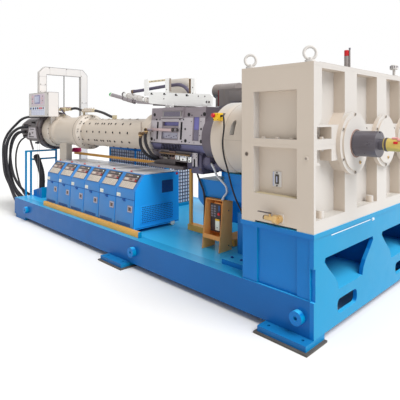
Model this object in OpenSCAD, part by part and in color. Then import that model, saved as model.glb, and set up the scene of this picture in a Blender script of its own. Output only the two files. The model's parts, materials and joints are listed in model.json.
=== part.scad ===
// Rubber extrusion line: a cold-feed pin-barrel extruder on its own base, with gearbox,
// feed section, barrel, head, temperature units, cable duct and drive motor.
// X runs along the line to the gearbox end, -Y is the operator side, Z is up, z = 0 is the floor.

/* [Base] */
// Length of the base frame
base_l = 5000; // [4900:20:5200]
// Width of the base frame
base_w = 1940; // [1900:10:2000]
// Width of each side beam
beam_w = 120; // [90:5:160]
// Height of the deck and beam tops above the floor
deck_z = 285; // [270:5:310]
// Clear height under the beams
beam_under = 50; // [40:5:60]
// Thickness of the deck plate
deck_t = 20; // [12:1:30]
// Width of each cross beam under the deck
cross_w = 140; // [100:10:200]
// Length of each foot plate
foot_l = 375; // [340:5:400]
// How far a foot plate reaches past the beam
foot_out = 95; // [85:5:120]
// How far a foot plate reaches in from the beam's outer side
foot_in = 135; // [120:5:180]
// Thickness of the packing pad under a foot plate
pad_t = 12; // [8:1:20]
// Radius of an anchor bolt hole
anchor_r = 11; // [8:0.5:14]
// Distance of an anchor hole from the end of its foot plate
anchor_in = 55; // [50:1:80]
// Distance of the anchor holes from the beam side
anchor_out = 40; // [25:1:50]
// Radius of a lifting boss
boss_r = 47; // [40:1:60]
// How far a lifting boss stands out
boss_out = 42; // [30:2:60]
// Radius of the hole in a lifting boss
boss_hole_r = 14; // [10:1:20]

/* [Gearbox pedestal] */
// Length of the pedestal and gearbox along the line
gear_l = 590; // [560:10:640]
// Thickness of the pedestal plates
ped_t = 30; // [20:1:40]
// Thickness of the pedestal top flange
ped_top_t = 32; // [24:1:40]
// Height of the pedestal top, under the gearbox
ped_z = 719; // [680:1:760]
// Depth of the recessed panel in a pedestal side
ped_panel_d = 15; // [5:1:20]
// Top of the large openings in the end plate
port_top = 540; // [500:5:580]
// Half width of a large opening at its top
port_half = 375; // [330:5:390]
// Half width of a large opening at its foot
port_half_low = 185; // [150:5:240]
// Depth of the step in the end plate's edges
end_step = 20; // [5:1:30]
// Distance of an opening's centre from the middle
port_y = 458; // [440:2:480]
// Width of the slot under each opening
slot_w = 294; // [240:2:320]
// Height of the slot under each opening
slot_h = 100; // [80:2:120]

/* [Gearbox] */
// Height of the shaft axis above the floor
axis_z = 1280; // [1260:5:1300]
// Place of the screw axis across the line
axis_y = -460; // [-480:5:-440]
// Distance from the first shaft to the second
shaft_pitch_1 = 540; // [520:5:560]
// Distance from the second shaft to the third
shaft_pitch_2 = 480; // [460:5:490]
// Height of the gearbox case above the pedestal
gear_h = 1101; // [1060:1:1140]
// Thickness of the top cover
cover_t = 22; // [14:1:30]
// Depth of the bays in the end faces
bay_d = 85; // [70:5:90]
// Width of a bearing rib
rib_w = 188; // [160:4:210]
// Width of the frame round the end face
rim_w = 102; // [90:2:110]
// Half height of the band that carries the bearings
band_h = 122; // [110:2:130]
// Depth of the windows in the operator side
window_d = 65; // [40:5:80]
// Width of the windows in the operator side
window_w = 356; // [300:2:380]
// Height of each window
window_h = 330; // [300:2:345]
// Radius of the first bearing cover
cap_r_1 = 222; // [200:2:236]
// Radius of the other bearing covers
cap_r_2 = 208; // [190:2:220]
// Thickness of a bearing cover
cap_t = 30; // [20:1:40]
// Thickness of the raised centre of a bearing cover
cap_lift = 12; // [6:1:16]
// Radius of the turning hub
hub_r = 90; // [70:1:100]
// Length of the turning hub
hub_l = 158; // [140:2:180]
// Radius of the shaft neck
neck_r = 38; // [30:1:42]
// Radius of the rotary union
union_r = 44; // [43.5:0.5:52]
// Length of the rotary union
union_l = 180; // [150:5:220]
// Mean radius of an eye bolt ring
eye_r = 40; // [34:1:42]
// Radius of the wire of an eye bolt ring
eye_wire = 10; // [7:0.5:11]
// Length of the drain valve lever
lever_l = 100; // [80:5:110]

/* [Throat and feed section] */
// Radius of the throat housing
throat_r = 320; // [310:2:324]
// Length of the throat housing
throat_l = 520; // [500:5:540]
// Radius of the steel neck between throat and feed block
throat_neck_r = 235; // [200:5:260]
// Length of the steel neck
throat_neck_l = 180; // [170:5:190]
// Length of the feed block
feed_l = 800; // [780:5:810]
// Half depth of the feed block at its lower front edge
feed_half = 200; // [185:5:215]
// How far the front face leans back
feed_lean = 26; // [15:1:35]
// Height of the feed block top above the axis
feed_up = 285; // [270:5:300]
// Depth of the feed block below the axis
feed_down = 145; // [130:5:160]
// Radius of the emergency stop button
stop_button_r = 20; // [16:1:24]

/* [Barrel and head] */
// Radius of the pin barrel
barrel_r = 175; // [165:1:185]
// Length of the pin barrel between its flanges
barrel_l = 1415; // [1380:5:1440]
// Radius of the flange behind the feed block
rear_flange_r = 240; // [230:1:250]
// Length of the flange behind the feed block
rear_flange_l = 120; // [100:5:130]
// Radius of the pin barrel's front flange
mid_flange_r = 233; // [215:1:240]
// Length of the bolted flange pair in front of the pin barrel
mid_flange_l = 180; // [150:5:190]
// Radius of the front barrel
front_barrel_r = 196; // [188:1:205]
// Length of the front barrel
front_barrel_l = 590; // [560:10:620]
// Radius of the collar behind the head flange
collar_r = 215; // [208:1:225]
// Length of the collar behind the head flange
collar_l = 90; // [70:5:110]
// Radius of the large head flange
head_flange_r = 243; // [232:1:252]
// Length of the large head flange
head_flange_l = 175; // [150:5:190]
// Radius of the clamp ring
clamp_r = 285; // [270:1:286]
// Length of the clamp ring
clamp_l = 180; // [150:5:200]
// Radius of the head body
head_r = 195; // [180:1:196]
// Length of the head body
head_l = 710; // [650:10:740]
// Radius of the head's outlet end
head_end_r = 150; // [130:1:170]
// Length of the head's outlet end
head_end_l = 150; // [120:5:180]

/* [Temperature units] */
// Width of one temperature unit
unit_w = 340; // [330:1:344]
// Depth of a temperature unit at its foot
unit_d = 615; // [580:5:630]
// Height of a unit's top above the deck
unit_h = 590; // [560:5:610]
// Height of a unit's underside above the deck
unit_under = 35; // [25:1:50]

/* [Cabinet and duct] */
// Width of the operator cabinet
cabinet_w = 676; // [640:4:700]
// Depth of the operator cabinet
cabinet_d = 152; // [140:2:160]
// Height of the operator cabinet
cabinet_h = 350; // [310:10:370]
// Width of the cable duct legs
duct_w = 112; // [110:2:150]
// Depth of the cable duct
duct_d = 56; // [50:2:90]
// Height of the cable duct top above the floor
duct_z = 2238; // [2220:2:2280]

/* [Hidden] */

blue = [0.13, 0.42, 0.72];
deep_blue = [0.10, 0.33, 0.62];
beige = [0.80, 0.76, 0.70];
steel = [0.62, 0.61, 0.62];
dark = [0.22, 0.20, 0.21];
orange = [0.85, 0.52, 0.20];
white = [0.93, 0.93, 0.92];
rubber = [0.06, 0.06, 0.07];

round_fn = 64;
edge = 1;
base_x0 = -base_l / 2;
base_x1 = base_l / 2;
base_y0 = -base_w / 2;
base_y1 = base_w / 2;
gear_x1 = base_x1;
gear_x0 = gear_x1 - gear_l;
gear_top = ped_z + gear_h;
shaft_y = [axis_y, axis_y + shaft_pitch_1, axis_y + shaft_pitch_1 + shaft_pitch_2];
throat_x0 = gear_x0 - throat_l;
feed_x1 = throat_x0 - throat_neck_l;
feed_x0 = feed_x1 - feed_l;

// A block between two opposite corners
module block(a, b) translate(a) cube(b - a);

// A round bar along X
module bar_x(x0, x1, r, y, z)
    translate([x0, y, z]) rotate([0, 90, 0]) cylinder(h = x1 - x0, r = r, $fn = round_fn);

// A round bar along Y
module bar_y(y0, y1, r, x, z)
    translate([x, y1, z]) rotate([90, 0, 0]) cylinder(h = y1 - y0, r = r, $fn = round_fn);

// An outline of [y, z] points extruded along X
module prism_x(x0, x1, points)
    translate([x0, 0, 0]) rotate([90, 0, 90]) linear_extrude(height = x1 - x0) polygon(points);

// An outline of [x, z] points extruded along Y
module prism_y(y0, y1, points)
    translate([0, y1, 0]) rotate([90, 0, 0]) linear_extrude(height = y1 - y0) polygon(points);

// A turned piece along X from [radius, x] points
module lathe_x(y, z, points)
    translate([0, y, z]) rotate([0, 90, 0]) rotate_extrude($fn = 96) polygon(points);

// ---- base ----
foot_x = [base_x1 - foot_l / 2, feed_x0 - 120];
boss_x = [base_x1 - 110, feed_x0 + 140, base_x0 + 470];
boss_z = beam_under + (deck_z - beam_under) / 2;
pad_out = 20;
end_pad_in = 30;
deck_block_h = 40;

module base_side_beams() color(blue)
    for (side = [0, 1]) mirror([0, side, 0])
        block([base_x0, base_y0, beam_under], [base_x1 - ped_t, base_y0 + beam_w, deck_z]);

module lifting_bosses() color(blue)
    for (side = [0, 1]) mirror([0, side, 0])
        difference() {
            for (x = boss_x) bar_y(base_y0 - boss_out, base_y0, boss_r, x, boss_z);
            for (x = boss_x)
                bar_y(base_y0 - boss_out - edge, base_y0 - boss_out / 2, boss_hole_r, x, boss_z);
        }

module base_deck() color(blue) {
    block([base_x0 + ped_t, base_y0 + beam_w, deck_z - deck_t],
          [base_x1 - ped_t, base_y1 - beam_w, deck_z]);
    block([gear_x0 - 310, base_y0 + beam_w + 2, deck_z - edge],
          [gear_x0 - 30, base_y0 + beam_w + 160, deck_z + deck_block_h]);
}

cross_x = [for (f = [-0.6, -0.3, 0, 0.3, 0.6]) f * base_x1, gear_x0 + 290];
centre_pad = 100;

module base_cross_members() color(blue) {
    block([base_x0, base_y0 + beam_w, beam_under], [base_x0 + ped_t, base_y1 - beam_w, deck_z]);
    for (x = cross_x)
        block([x - cross_w / 2, base_y0 + beam_w, beam_under],
              [x + cross_w / 2, base_y1 - beam_w, deck_z - deck_t]);
}

module foot(x) {
    difference() {
        union() {
            block([x - foot_l / 2, base_y0 - foot_out, pad_t - edge],
                  [x + foot_l / 2, base_y0 + foot_in, beam_under]);
            block([x - foot_l / 2 - pad_out, base_y0 - foot_out - pad_out, 0],
                  [x + foot_l / 2 + pad_out, base_y0 + foot_in, pad_t]);
        }
        for (side = [-1, 1])
            translate([x + side * (foot_l / 2 - anchor_in), base_y0 - anchor_out, -edge])
                cylinder(h = beam_under + 2 * edge, r = anchor_r, $fn = round_fn);
    }
}

module end_pad()
    block([base_x0 + end_pad_in, base_y0 + 10, 0], [base_x0 + foot_l, base_y0 + beam_w - 10, beam_under]);

module base_feet() color(blue) {
    for (x = foot_x) {
        foot(x);
        mirror([0, 1, 0]) foot(x);
    }
    end_pad();
    mirror([0, 1, 0]) end_pad();
    block([-centre_pad, -centre_pad, 0], [centre_pad, centre_pad, beam_under]);
}

// ---- pedestal ----
panel_x0 = gear_x0 + 133;
panel_x1 = gear_x1 - 130;
port_side_z = port_top - 25;
step_top = 498;
// How an opening widens: share of its height, share of the added width
port_curve = [[0, 0], [0.21, 0.08], [0.44, 0.29], [0.73, 0.69], [1, 1]];
slot_y = port_y + 55;
slot_z = 167;
ped_side = 10;
ped_wall_top = ped_z - ped_top_t;

module pedestal_side() {
    difference() {
        block([gear_x0 + ped_t, base_y0 + ped_side, deck_z],
              [gear_x1 - ped_t, base_y0 + ped_side + ped_t, ped_wall_top]);
        block([panel_x0, base_y0, deck_z + edge],
              [panel_x1, base_y0 + ped_side + ped_panel_d, ped_wall_top - edge]);
    }
}

module pedestal_walls() color(blue) {
    pedestal_side();
    mirror([0, 1, 0]) pedestal_side();
    block([gear_x0 + ped_t - edge, -ped_t, deck_z], [gear_x1 - ped_t, ped_t, ped_wall_top]);
    block([gear_x0, base_y0 + ped_side, deck_z], [gear_x0 + ped_t, base_y1 - ped_side, ped_wall_top]);
}

function port_x(c) = port_half_low + c[1] * (port_half - port_half_low);
function port_rise(c) = deck_z + c[0] * (port_side_z - deck_z);

module port_shape()
    for (side = [0, 1]) mirror([side, 0])
        polygon([
            [-edge, deck_z], for (c = port_curve) [port_x(c), port_rise(c)],
            [port_half - 10, port_top], [-edge, port_top]
        ]);

module slot_shape() {
    r = slot_h / 2 - 12;
    square([slot_w - 2 * r, slot_h], center = true);
    square([slot_w, slot_h - 2 * r], center = true);
    for (sx = [-1, 1], sz = [-1, 1])
        translate([sx * (slot_w / 2 - r), sz * (slot_h / 2 - r)]) circle(r = r, $fn = round_fn);
}

module pedestal_end_plate() color(blue)
    difference() {
        block([base_x1 - ped_t, base_y0, beam_under], [base_x1, base_y1, ped_wall_top]);
        for (side = [-1, 1]) {
            translate([base_x1 - ped_t - edge, side * port_y, 0]) rotate([90, 0, 90])
                linear_extrude(height = ped_t + 2 * edge) port_shape();
            translate([base_x1 - ped_t - edge, side * slot_y, slot_z]) rotate([90, 0, 90])
                linear_extrude(height = ped_t + 2 * edge) slot_shape();
        }
        for (side = [0, 1]) mirror([0, side, 0])
            block([base_x1 - ped_t - edge, base_y0 - edge, deck_z],
                  [base_x1 + edge, base_y0 + end_step, step_top]);
    }

module pedestal_top_plate() color(blue)
    block([gear_x0 - 8, base_y0 - 4, ped_wall_top], [gear_x1 + 4, base_y1 + 4, ped_z]);

// ---- gearbox ----
case_top = gear_top - cover_t;
bay_z0 = ped_z + 82;
bay_z1 = case_top - 14;
window_x0 = gear_x0 + 110;
window_gap = 57;
plinth_gap = 15;
band_z0 = axis_z - band_h + 13;
band_z1 = axis_z + band_h + 12;
chamfer_y = 85;
boss_half = rib_w / 2 + 189;
bolt_band = 34;

// The bay at the operator side of the first rib; dz is +1 above the split and -1 below
module end_bay(dz, z_far, z_near) {
    y_rim = base_y0 + rim_w;
    y_rib = shaft_y[0] - rib_w / 2;
    polygon([
        [y_rim, z_far], [y_rib, z_far], [y_rib, z_near + dz * chamfer_y],
        [y_rib - chamfer_y, z_near], [y_rim - 40, z_near], [y_rim, z_near + dz * 40]
    ]);
}

module bay_cut(x0, x1, upper) {
    z_far = upper ? bay_z1 : bay_z0;
    z_near = upper ? band_z1 : band_z0;
    dz = upper ? 1 : -1;
    translate([x0, 0, 0]) rotate([90, 0, 90]) linear_extrude(height = x1 - x0) {
        end_bay(dz, z_far, z_near);
        for (i = [0, 1]) {
            ya = shaft_y[i] + rib_w / 2;
            yb = shaft_y[i + 1] - rib_w / 2;
            polygon([[ya, z_far], [yb, z_far], [yb, z_near], [ya, z_near]]);
        }
        y3 = shaft_y[2] + rib_w / 2;
        polygon([[y3, z_far], [base_y1 - rim_w, z_far], [base_y1 - rim_w, z_near], [y3, z_near]]);
    }
}

// The bolt pockets beside the first and last bearing, above or below the split
module pocket_cut(x0, x1, upper) {
    za = upper ? axis_z + bolt_band + 7 : band_z0 - edge;
    zb = upper ? band_z1 - 14 : axis_z - bolt_band + 6;
    block([x0, base_y0 + 39, za], [x1, shaft_y[0] - boss_half, zb]);
    block([x0, shaft_y[2] + boss_half - 60, za], [x1, base_y1 - 39, zb]);
}

module window_cut(z0)
    for (side = [0, 1]) mirror([0, side, 0])
        block([window_x0, base_y0 - edge, z0], [window_x0 + window_w, base_y0 + window_d, z0 + window_h]);

module end_cuts(upper) {
    bay_cut(gear_x1 - bay_d, gear_x1 + edge, upper);
    pocket_cut(gear_x1 - bay_d, gear_x1 + edge, upper);
    bay_cut(gear_x0 - edge, gear_x0 + bay_d, upper);
}

foot_boss_y = [base_y0 + 134, shaft_y[0] + 394];
foot_boss_r = 28;
notch_d = 72;
notch_under = 18;
side_wall_t = 28;

module gearbox_lower_case() color(beige) {
    difference() {
        block([gear_x0, base_y0, ped_z], [gear_x1, base_y1, axis_z]);
        end_cuts(false);
        block([gear_x1 - notch_d, base_y0 + side_wall_t, bay_z0],
              [gear_x1 + edge, base_y0 + rim_w + edge, band_z0 - notch_under]);
        window_cut(axis_z - window_gap / 2 - window_h + 7);
        for (side = [0, 1]) mirror([0, side, 0])
            block([window_x0 + 10, base_y0 - edge, ped_z - edge],
                  [window_x0 + window_w, base_y0 + window_d, ped_z + plinth_gap]);
    }
    for (y = foot_boss_y)
        translate([gear_x1 - 36, y, bay_z0 - edge])
            cylinder(h = 50, r = foot_boss_r, $fn = round_fn);
}

module gearbox_upper_case() color(beige)
    difference() {
        block([gear_x0, base_y0, axis_z], [gear_x1, base_y1, case_top]);
        end_cuts(true);
        window_cut(axis_z + window_gap / 2 + 8);
    }

module gearbox_top_cover() color(beige) {
    block([gear_x0, base_y0, case_top], [gear_x1, base_y1, gear_top]);
    block([gear_x0 + 60, base_y0 + 190, gear_top - edge], [gear_x1 - 60, base_y1 - 190, lid_z]);
}

eye_inset = 50;
eye_stem_r = 14;
eye_turn = 45;

module eye_bolt(x, y)
    translate([x, y, gear_top]) {
        cylinder(h = 14, r = eye_r - 6, $fn = round_fn);
        cylinder(h = 30, r = eye_stem_r, $fn = round_fn);
        translate([0, 0, 20 + eye_r]) rotate([90, 0, eye_turn])
            rotate_extrude($fn = round_fn) translate([eye_r, 0]) circle(r = eye_wire, $fn = 24);
    }

module gearbox_eye_bolts() color(beige)
    for (x = [gear_x0 + eye_inset, gear_x1 - eye_inset], y = [base_y0 + 40, base_y1 - 40])
        eye_bolt(x, y);

hub_gap = 5;
stub_r = 60;
hub_x0 = gear_x1 + cap_t + cap_lift + hub_gap;
hub_x1 = hub_x0 + hub_l;
neck_x1 = hub_x1 + 55;
union_x0 = hub_x1 + 35;
fit_gap = 0.3;
cap_step = 30;

module bearing_cover(r, y) {
    bar_x(gear_x1, gear_x1 + cap_t, r, y, axis_z);
    bar_x(gear_x1, gear_x1 + cap_t + cap_lift, r - cap_step, y, axis_z);
}

module bearing_covers() color(beige) {
    difference() {
        bearing_cover(cap_r_1, shaft_y[0]);
        bar_x(gear_x1 - edge, gear_x1 + cap_t + cap_lift + edge, stub_r + hub_gap, shaft_y[0], axis_z);
    }
    for (i = [1, 2]) bearing_cover(cap_r_2, shaft_y[i]);
}

module output_hub() color(dark)
    difference() {
        union() {
            bar_x(gear_x1 + hub_gap, hub_x0 + edge, stub_r, axis_y, axis_z);
            bar_x(hub_x0, hub_x1, hub_r, axis_y, axis_z);
            bar_x(hub_x1 - edge, neck_x1, neck_r, axis_y, axis_z);
        }
        block([hub_x0 + 90, axis_y - 12, axis_z + hub_r - 14],
            [hub_x1 + edge, axis_y + 12, axis_z + hub_r + edge]);
    }

module rotary_union() color([0.78, 0.66, 0.30])
    difference() {
        union() {
            bar_x(union_x0, union_x0 + union_l, union_r, axis_y, axis_z);
            bar_x(union_x0 + union_l - edge, union_x0 + union_l + 30, union_r - 12, axis_y, axis_z);
            translate([union_x0 + union_l - 50, axis_y, axis_z - union_r - 24])
                cylinder(h = union_r, r = 20, $fn = round_fn);
        }
        bar_x(union_x0 - edge, neck_x1 + 2, neck_r + fit_gap, axis_y, axis_z);
    }

valve_x = gear_x0 + 340;
valve_y = base_y0 - 40;
valve_z = ped_z + 60;
stem_x = valve_x - 60;
stem_z = valve_z + 32;
lever_t = 5;

module drain_valve() color([0.72, 0.56, 0.28]) {
    bar_y(valve_y, base_y0, 26, valve_x, valve_z);
    bar_x(valve_x - 25, valve_x + 8, 30, valve_y, valve_z);
    bar_x(stem_x - 38, valve_x, 17, valve_y, valve_z);
    translate([stem_x, valve_y, valve_z]) cylinder(h = stem_z - valve_z, r = 8, $fn = round_fn);
}

module drain_valve_lever() color(dark)
    difference() {
        union() {
            block([stem_x - lever_l, valve_y - 8, stem_z + fit_gap],
                  [stem_x, valve_y + 8, stem_z + fit_gap + lever_t]);
            translate([stem_x, valve_y, stem_z + fit_gap]) cylinder(h = lever_t, r = 12, $fn = round_fn);
        }
        translate([stem_x, valve_y, stem_z - edge]) cylinder(h = lever_t + 4 * edge, r = 4, $fn = round_fn);
    }

lid_z = gear_top + 20;

gauge_x = gear_x0 + 236;
gauge_z = axis_z - 300;
beacon_x = gear_x0 + 340;
beacon_y = shaft_y[1] - 97;
breather = [gear_x0 + 490, shaft_y[2] + 42];

module gearbox_fittings() color(steel) {
    block([gauge_x, base_y0 + window_d - 6, gauge_z], [gauge_x + 70, base_y0 + window_d, gauge_z + 108]);
    translate([beacon_x, beacon_y, lid_z]) cylinder(h = 187, r = 20, $fn = round_fn);
    translate([beacon_x + 27, beacon_y, lid_z]) cylinder(h = 205, r = 6, $fn = round_fn);
    translate([breather[0], breather[1], lid_z]) cylinder(h = 70, r = 12, $fn = round_fn);
    translate([breather[0], breather[1], lid_z + 65]) cylinder(h = 40, r = 36, $fn = round_fn);
}

// ---- throat and feed section ----
slot_x0 = throat_x0 + 219;

module throat_housing() color(beige)
    difference() {
        lathe_x(axis_y, axis_z, [
            [0, throat_x0], [throat_r - 14, throat_x0], [throat_r, throat_x0 + 14],
            [throat_r, throat_x0 + 120], [throat_r - 10, throat_x0 + 150],
            [throat_r - 10, gear_x0], [0, gear_x0]
        ]);
        prism_y(axis_y - throat_r - edge, axis_y - throat_r + 150, [
            [slot_x0, axis_z + 42], [slot_x0 + 48, axis_z + 42], [slot_x0 + 48, axis_z + 145],
            [slot_x0 + 40, axis_z + 158], [slot_x0 + 28, axis_z + 164],
            [slot_x0 + 12, axis_z + 154], [slot_x0, axis_z + 120]
        ]);
    }

feed_front = axis_y - feed_half;
feed_z0 = axis_z - feed_down;
feed_z1 = axis_z + feed_up;
face_z0 = axis_z - 60;
face_z1 = axis_z + 195;
hose_port_x = feed_x0 + 40;
hose_port_z = axis_z + 62;
hose_port_r = 14;
hose_port_out = 98;

// Front face of the feed block at a height
function front_y(z) = feed_front + feed_lean * (z - face_z0) / (feed_z1 - face_z0);

module front_window(x0, x1, z0, z1, d)
    prism_x(x0, x1, [
        [front_y(z0) - 40, z0], [front_y(z0) + d, z0], [front_y(z1) + d, z1], [front_y(z1) - 40, z1]
    ]);

module feed_housing() color(steel) {
    difference() {
        union() {
            prism_x(feed_x0, feed_x1, [
                [feed_front + 50, feed_z0], [feed_front, face_z0], [front_y(feed_z1), feed_z1],
                [2 * axis_y - front_y(feed_z1), feed_z1], [2 * axis_y - feed_front, face_z0],
                [2 * axis_y - feed_front - 50, feed_z0]
            ]);
            prism_x(feed_x0 + 198, feed_x0 + 507, [
                [front_y(face_z1) - 14, face_z1], [front_y(face_z1) + 40, face_z1],
                [front_y(feed_z1) + 40, feed_z1 + 3], [front_y(feed_z1) - 6, feed_z1 + 3]
            ]);
        }
        front_window(feed_x0 + 190, feed_x0 + 440, axis_z + 105, axis_z + 143, 60);
        front_window(feed_x0 + 173, feed_x0 + 425, axis_z - 24, axis_z + 39, 25);
        front_window(feed_x0 + 645, feed_x0 + 717, axis_z - 28, axis_z + 191, 60);
        for (x = [feed_x0 + 27, feed_x0 + 548, feed_x0 + 761], row = [0, 1])
            bar_y(feed_front - edge, feed_front + 45, 17, x + 22 * row, axis_z - 34 + 250 * row);
    }
    bar_x(feed_x1 - edge, throat_x0, throat_neck_r, axis_y, axis_z);
    bar_y(feed_front - hose_port_out, feed_front + 30, hose_port_r, hose_port_x, hose_port_z);
}

tray_x1 = feed_x0 + 525;
tray_block_x0 = feed_x0 - 10;
tray_block_l = 340;
tray_block_y0 = feed_front + 60;
tray_z = axis_z - 285;

module feed_tray() color(dark) {
    prism_x(feed_x0 - 30, tray_x1, [
        [feed_front - 10, tray_z - 30], [feed_front - 10, tray_z],
        [axis_y + 160, tray_z + 10], [axis_y + 160, tray_z - 10]
    ]);
    block([tray_block_x0, tray_block_y0, tray_z - edge],
        [feed_x0 + edge, axis_y + 100, axis_z - rear_flange_r - 5]);
    block([feed_x0, tray_block_y0, tray_z - edge], [tray_block_x0 + tray_block_l, axis_y + 100, feed_z0]);
}

drive_x0 = tray_x1 + 5;
drive_x1 = throat_x0 - 30;
drive_y0 = feed_front + 40;
drive_z0 = axis_z - 339;
drive_clear = 5;

module feed_roll_drive() color([0.30, 0.30, 0.36])
    difference() {
        union() {
            block([drive_x0, drive_y0, drive_z0 + 40], [feed_x1 - 60, axis_y + 140, feed_z0]);
            block([drive_x0 + 60, drive_y0 - 18, axis_z - 253],
                [drive_x0 + 140, drive_y0 + edge, feed_z0 - 5]);
            block([drive_x0 + 60, drive_y0, drive_z0], [feed_x1 - 60, axis_y + 60, drive_z0 + 40 + edge]);
            bar_x(feed_x1 - 60 - edge, drive_x1, 80, drive_y0 + 80, axis_z - 225);
        }
        bar_x(feed_x1 - edge, throat_x0 + edge, throat_neck_r + drive_clear, axis_y, axis_z);
    }

ped_box_y0 = axis_y - 130;
ped_box_y1 = axis_y + 130;
ped_box_z0 = deck_z + 455;
ped_box_z1 = axis_z - 387;
ped_box_x0 = feed_x1 - 152;
ped_box_x1 = gear_x0 - 20;
ped_leg_x0 = throat_x0 + 130;

module throat_pedestal() color(blue)
    difference() {
        union() {
            prism_y(ped_box_y0, ped_box_y1, [
                [ped_box_x0, ped_box_z1], [ped_box_x0, ped_box_z0 - 30],
                [ped_box_x0 + 30, ped_box_z0 - 62], [ped_box_x0 + 75, ped_box_z0 - 94],
                [ped_box_x0 + 82, ped_box_z0], [ped_box_x1, ped_box_z0], [ped_box_x1, ped_box_z1]
            ]);
            prism_y(ped_box_y0 + 30, ped_box_y1 - 30, [
                [ped_leg_x0, deck_z], [ped_leg_x0, ped_box_z0 - 100], [ped_leg_x0 + 120, ped_box_z0 - 120],
                [ped_leg_x0 + 200, ped_box_z0 + edge], [ped_box_x1, ped_box_z0 + edge], [ped_box_x1, deck_z]
            ]);
            block([throat_x0 + 10, ped_box_y0 - 10, ped_box_z1 - edge],
                [gear_x0 - 30, ped_box_y1 + 10, ped_box_z1 + 82]);
        }
        bar_x(throat_x0 - edge, gear_x0 + edge, throat_r + fit_gap, axis_y, axis_z);
    }

stop_x0 = throat_x0 + 59;
stop_x1 = stop_x0 + 66;
stop_y0 = axis_y - throat_r - 15;
stop_y1 = stop_y0 + 57;
stop_z0 = axis_z + 158;
stop_z1 = stop_z0 + 66;

module emergency_stop() color([0.93, 0.78, 0.18]) {
    block([stop_x0, stop_y0, stop_z0], [stop_x1, stop_y1, stop_z1]);
    bar_x(stop_x0 - 24, stop_x0 + edge, stop_button_r, (stop_y0 + stop_y1) / 2, stop_z1 - 20);
    difference() {
        block([stop_x0 + 10, stop_y1 - edge, stop_z0], [stop_x0 + 50, stop_y1 + 80, stop_z1]);
        bar_x(stop_x0 - edge, stop_x1, throat_r + fit_gap, axis_y, axis_z);
    }
}

// ---- above the feed section ----
bracket_y0 = axis_y - 110;
bracket_y1 = bracket_y0 + 20;
bracket_foot_x = [feed_x0 + 230, feed_x0 + 690];

post_x = [feed_x0 + 112, feed_x0 + 505];
post_w = [60, 50];
post_top = [axis_z + 598, axis_z + 566];
post_t = 20;
upright_x = feed_x0 - 255;
back_plate_y = bracket_y1 + 110;

module hopper_frame() color(white) {
    prism_y(bracket_y0, bracket_y1, [
        [feed_x0 - 147, axis_z + 469], [feed_x0 - 147, axis_z + 350], [feed_x0 - 113, axis_z + 340],
        [feed_x0 + 196, axis_z + 313], [feed_x0 + 549, axis_z + 295], [feed_x0 + 800, axis_z + 291],
        [feed_x0 + 807, axis_z + 387], [feed_x0 + 788, axis_z + 401]
    ]);
    for (x = bracket_foot_x)
        block([x, bracket_y0, feed_z1], [x + 40, bracket_y1, feed_z1 + 50]);
    for (i = [0, 1])
        block([post_x[i], bracket_y1 - edge, feed_z1],
            [post_x[i] + post_w[i], bracket_y1 + post_t, post_top[i]]);
    block([post_x[1] - 44, bracket_y1 + post_t - 8, axis_z + 330],
          [post_x[1] + edge, bracket_y1 + post_t, post_top[1] + 4]);
    block([feed_x0 + 45, back_plate_y, axis_z + 400], [feed_x0 + 350, back_plate_y + 10, axis_z + 595]);
    block([post_x[0], bracket_y1 + post_t - edge, axis_z + 400],
          [post_x[0] + post_w[0], back_plate_y + edge, axis_z + 418]);
    block([upright_x, bracket_y1, axis_z + 432], [upright_x + 70, bracket_y1 + 15, axis_z + 609]);
    block([upright_x, bracket_y1, axis_z + 432], [upright_x + 135, bracket_y1 + 15, axis_z + 460]);
    block([feed_x0 + 385, axis_y - 45, feed_z1], [feed_x0 + 455, axis_y + 15, axis_z + 400]);
}

// A round bar in a plane across Y, from one [x, z] point to another
module rod_xz(a, b, r, y) {
    run = b - a;
    translate([a[0], y, a[1]]) rotate([0, atan2(run[0], run[1]), 0])
        cylinder(h = norm(run), r = r, $fn = round_fn);
}

near_y = (bracket_y0 + bracket_y1) / 2;
near_r = 30;
rod_end = [feed_x0 - 1078, axis_z + 484];
far_body = [feed_x0 - 780, axis_z + 424];
far_end = [feed_x0 - 556, axis_z + 378];
near_start = [feed_x0 - 632, axis_z + 461];
near_end = [feed_x0 - 188, axis_z + 382];
port_stub_x = feed_x0 - 470;

module feed_cylinders() color(steel) {
    rod_xz(near_start, near_end, near_r, near_y);
    block([near_end[0] - 12, near_y - 8, near_end[1] - 12], [feed_x0 - 147, near_y + 8, near_end[1] + 12]);
    translate([port_stub_x, near_y, axis_z + 425]) cylinder(h = 75, r = 12, $fn = round_fn);
    rod_xz(rod_end, far_body, 23, axis_y);
    rod_xz(far_body, far_end, 28, axis_y);
    rod_xz(far_end, far_end + [110, -14], 10, axis_y);
    prism_y(axis_y - 40, axis_y + 20, [
        [feed_x0 - 456, axis_z + 351], [feed_x0 - 169, axis_z + 333], [feed_x0 - 100, axis_z + 362],
        [feed_x0 - 100, axis_z + 400], [feed_x0 - 346, axis_z + 391], [feed_x0 - 456, axis_z + 391]
    ]);
    block([feed_x0 - 130, bracket_y1, axis_z + 370], [feed_x0 - 100, axis_y - 39, axis_z + 400]);
}

// ---- barrel ----
rear_flange_x0 = feed_x0 - rear_flange_l;
mid_flange_x1 = rear_flange_x0 - barrel_l;
mid_flange_x0 = mid_flange_x1 - mid_flange_l;
collar_x1 = mid_flange_x0 - front_barrel_l;
collar_x0 = collar_x1 - collar_l;
clamp_x1 = collar_x0 - head_flange_l;
clamp_x0 = clamp_x1 - clamp_l;
head_end_x1 = clamp_x0 - head_l;
head_x0 = head_end_x1 - head_end_l;

module pin_barrel() color(beige)
    lathe_x(axis_y, axis_z, [
        [0, mid_flange_x0], [mid_flange_r, mid_flange_x0], [mid_flange_r, mid_flange_x1 - 25],
        [barrel_r, mid_flange_x1], [barrel_r, rear_flange_x0],
        [rear_flange_r, rear_flange_x0], [rear_flange_r, feed_x0], [0, feed_x0]
    ]);

cone_l = 45;

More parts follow.
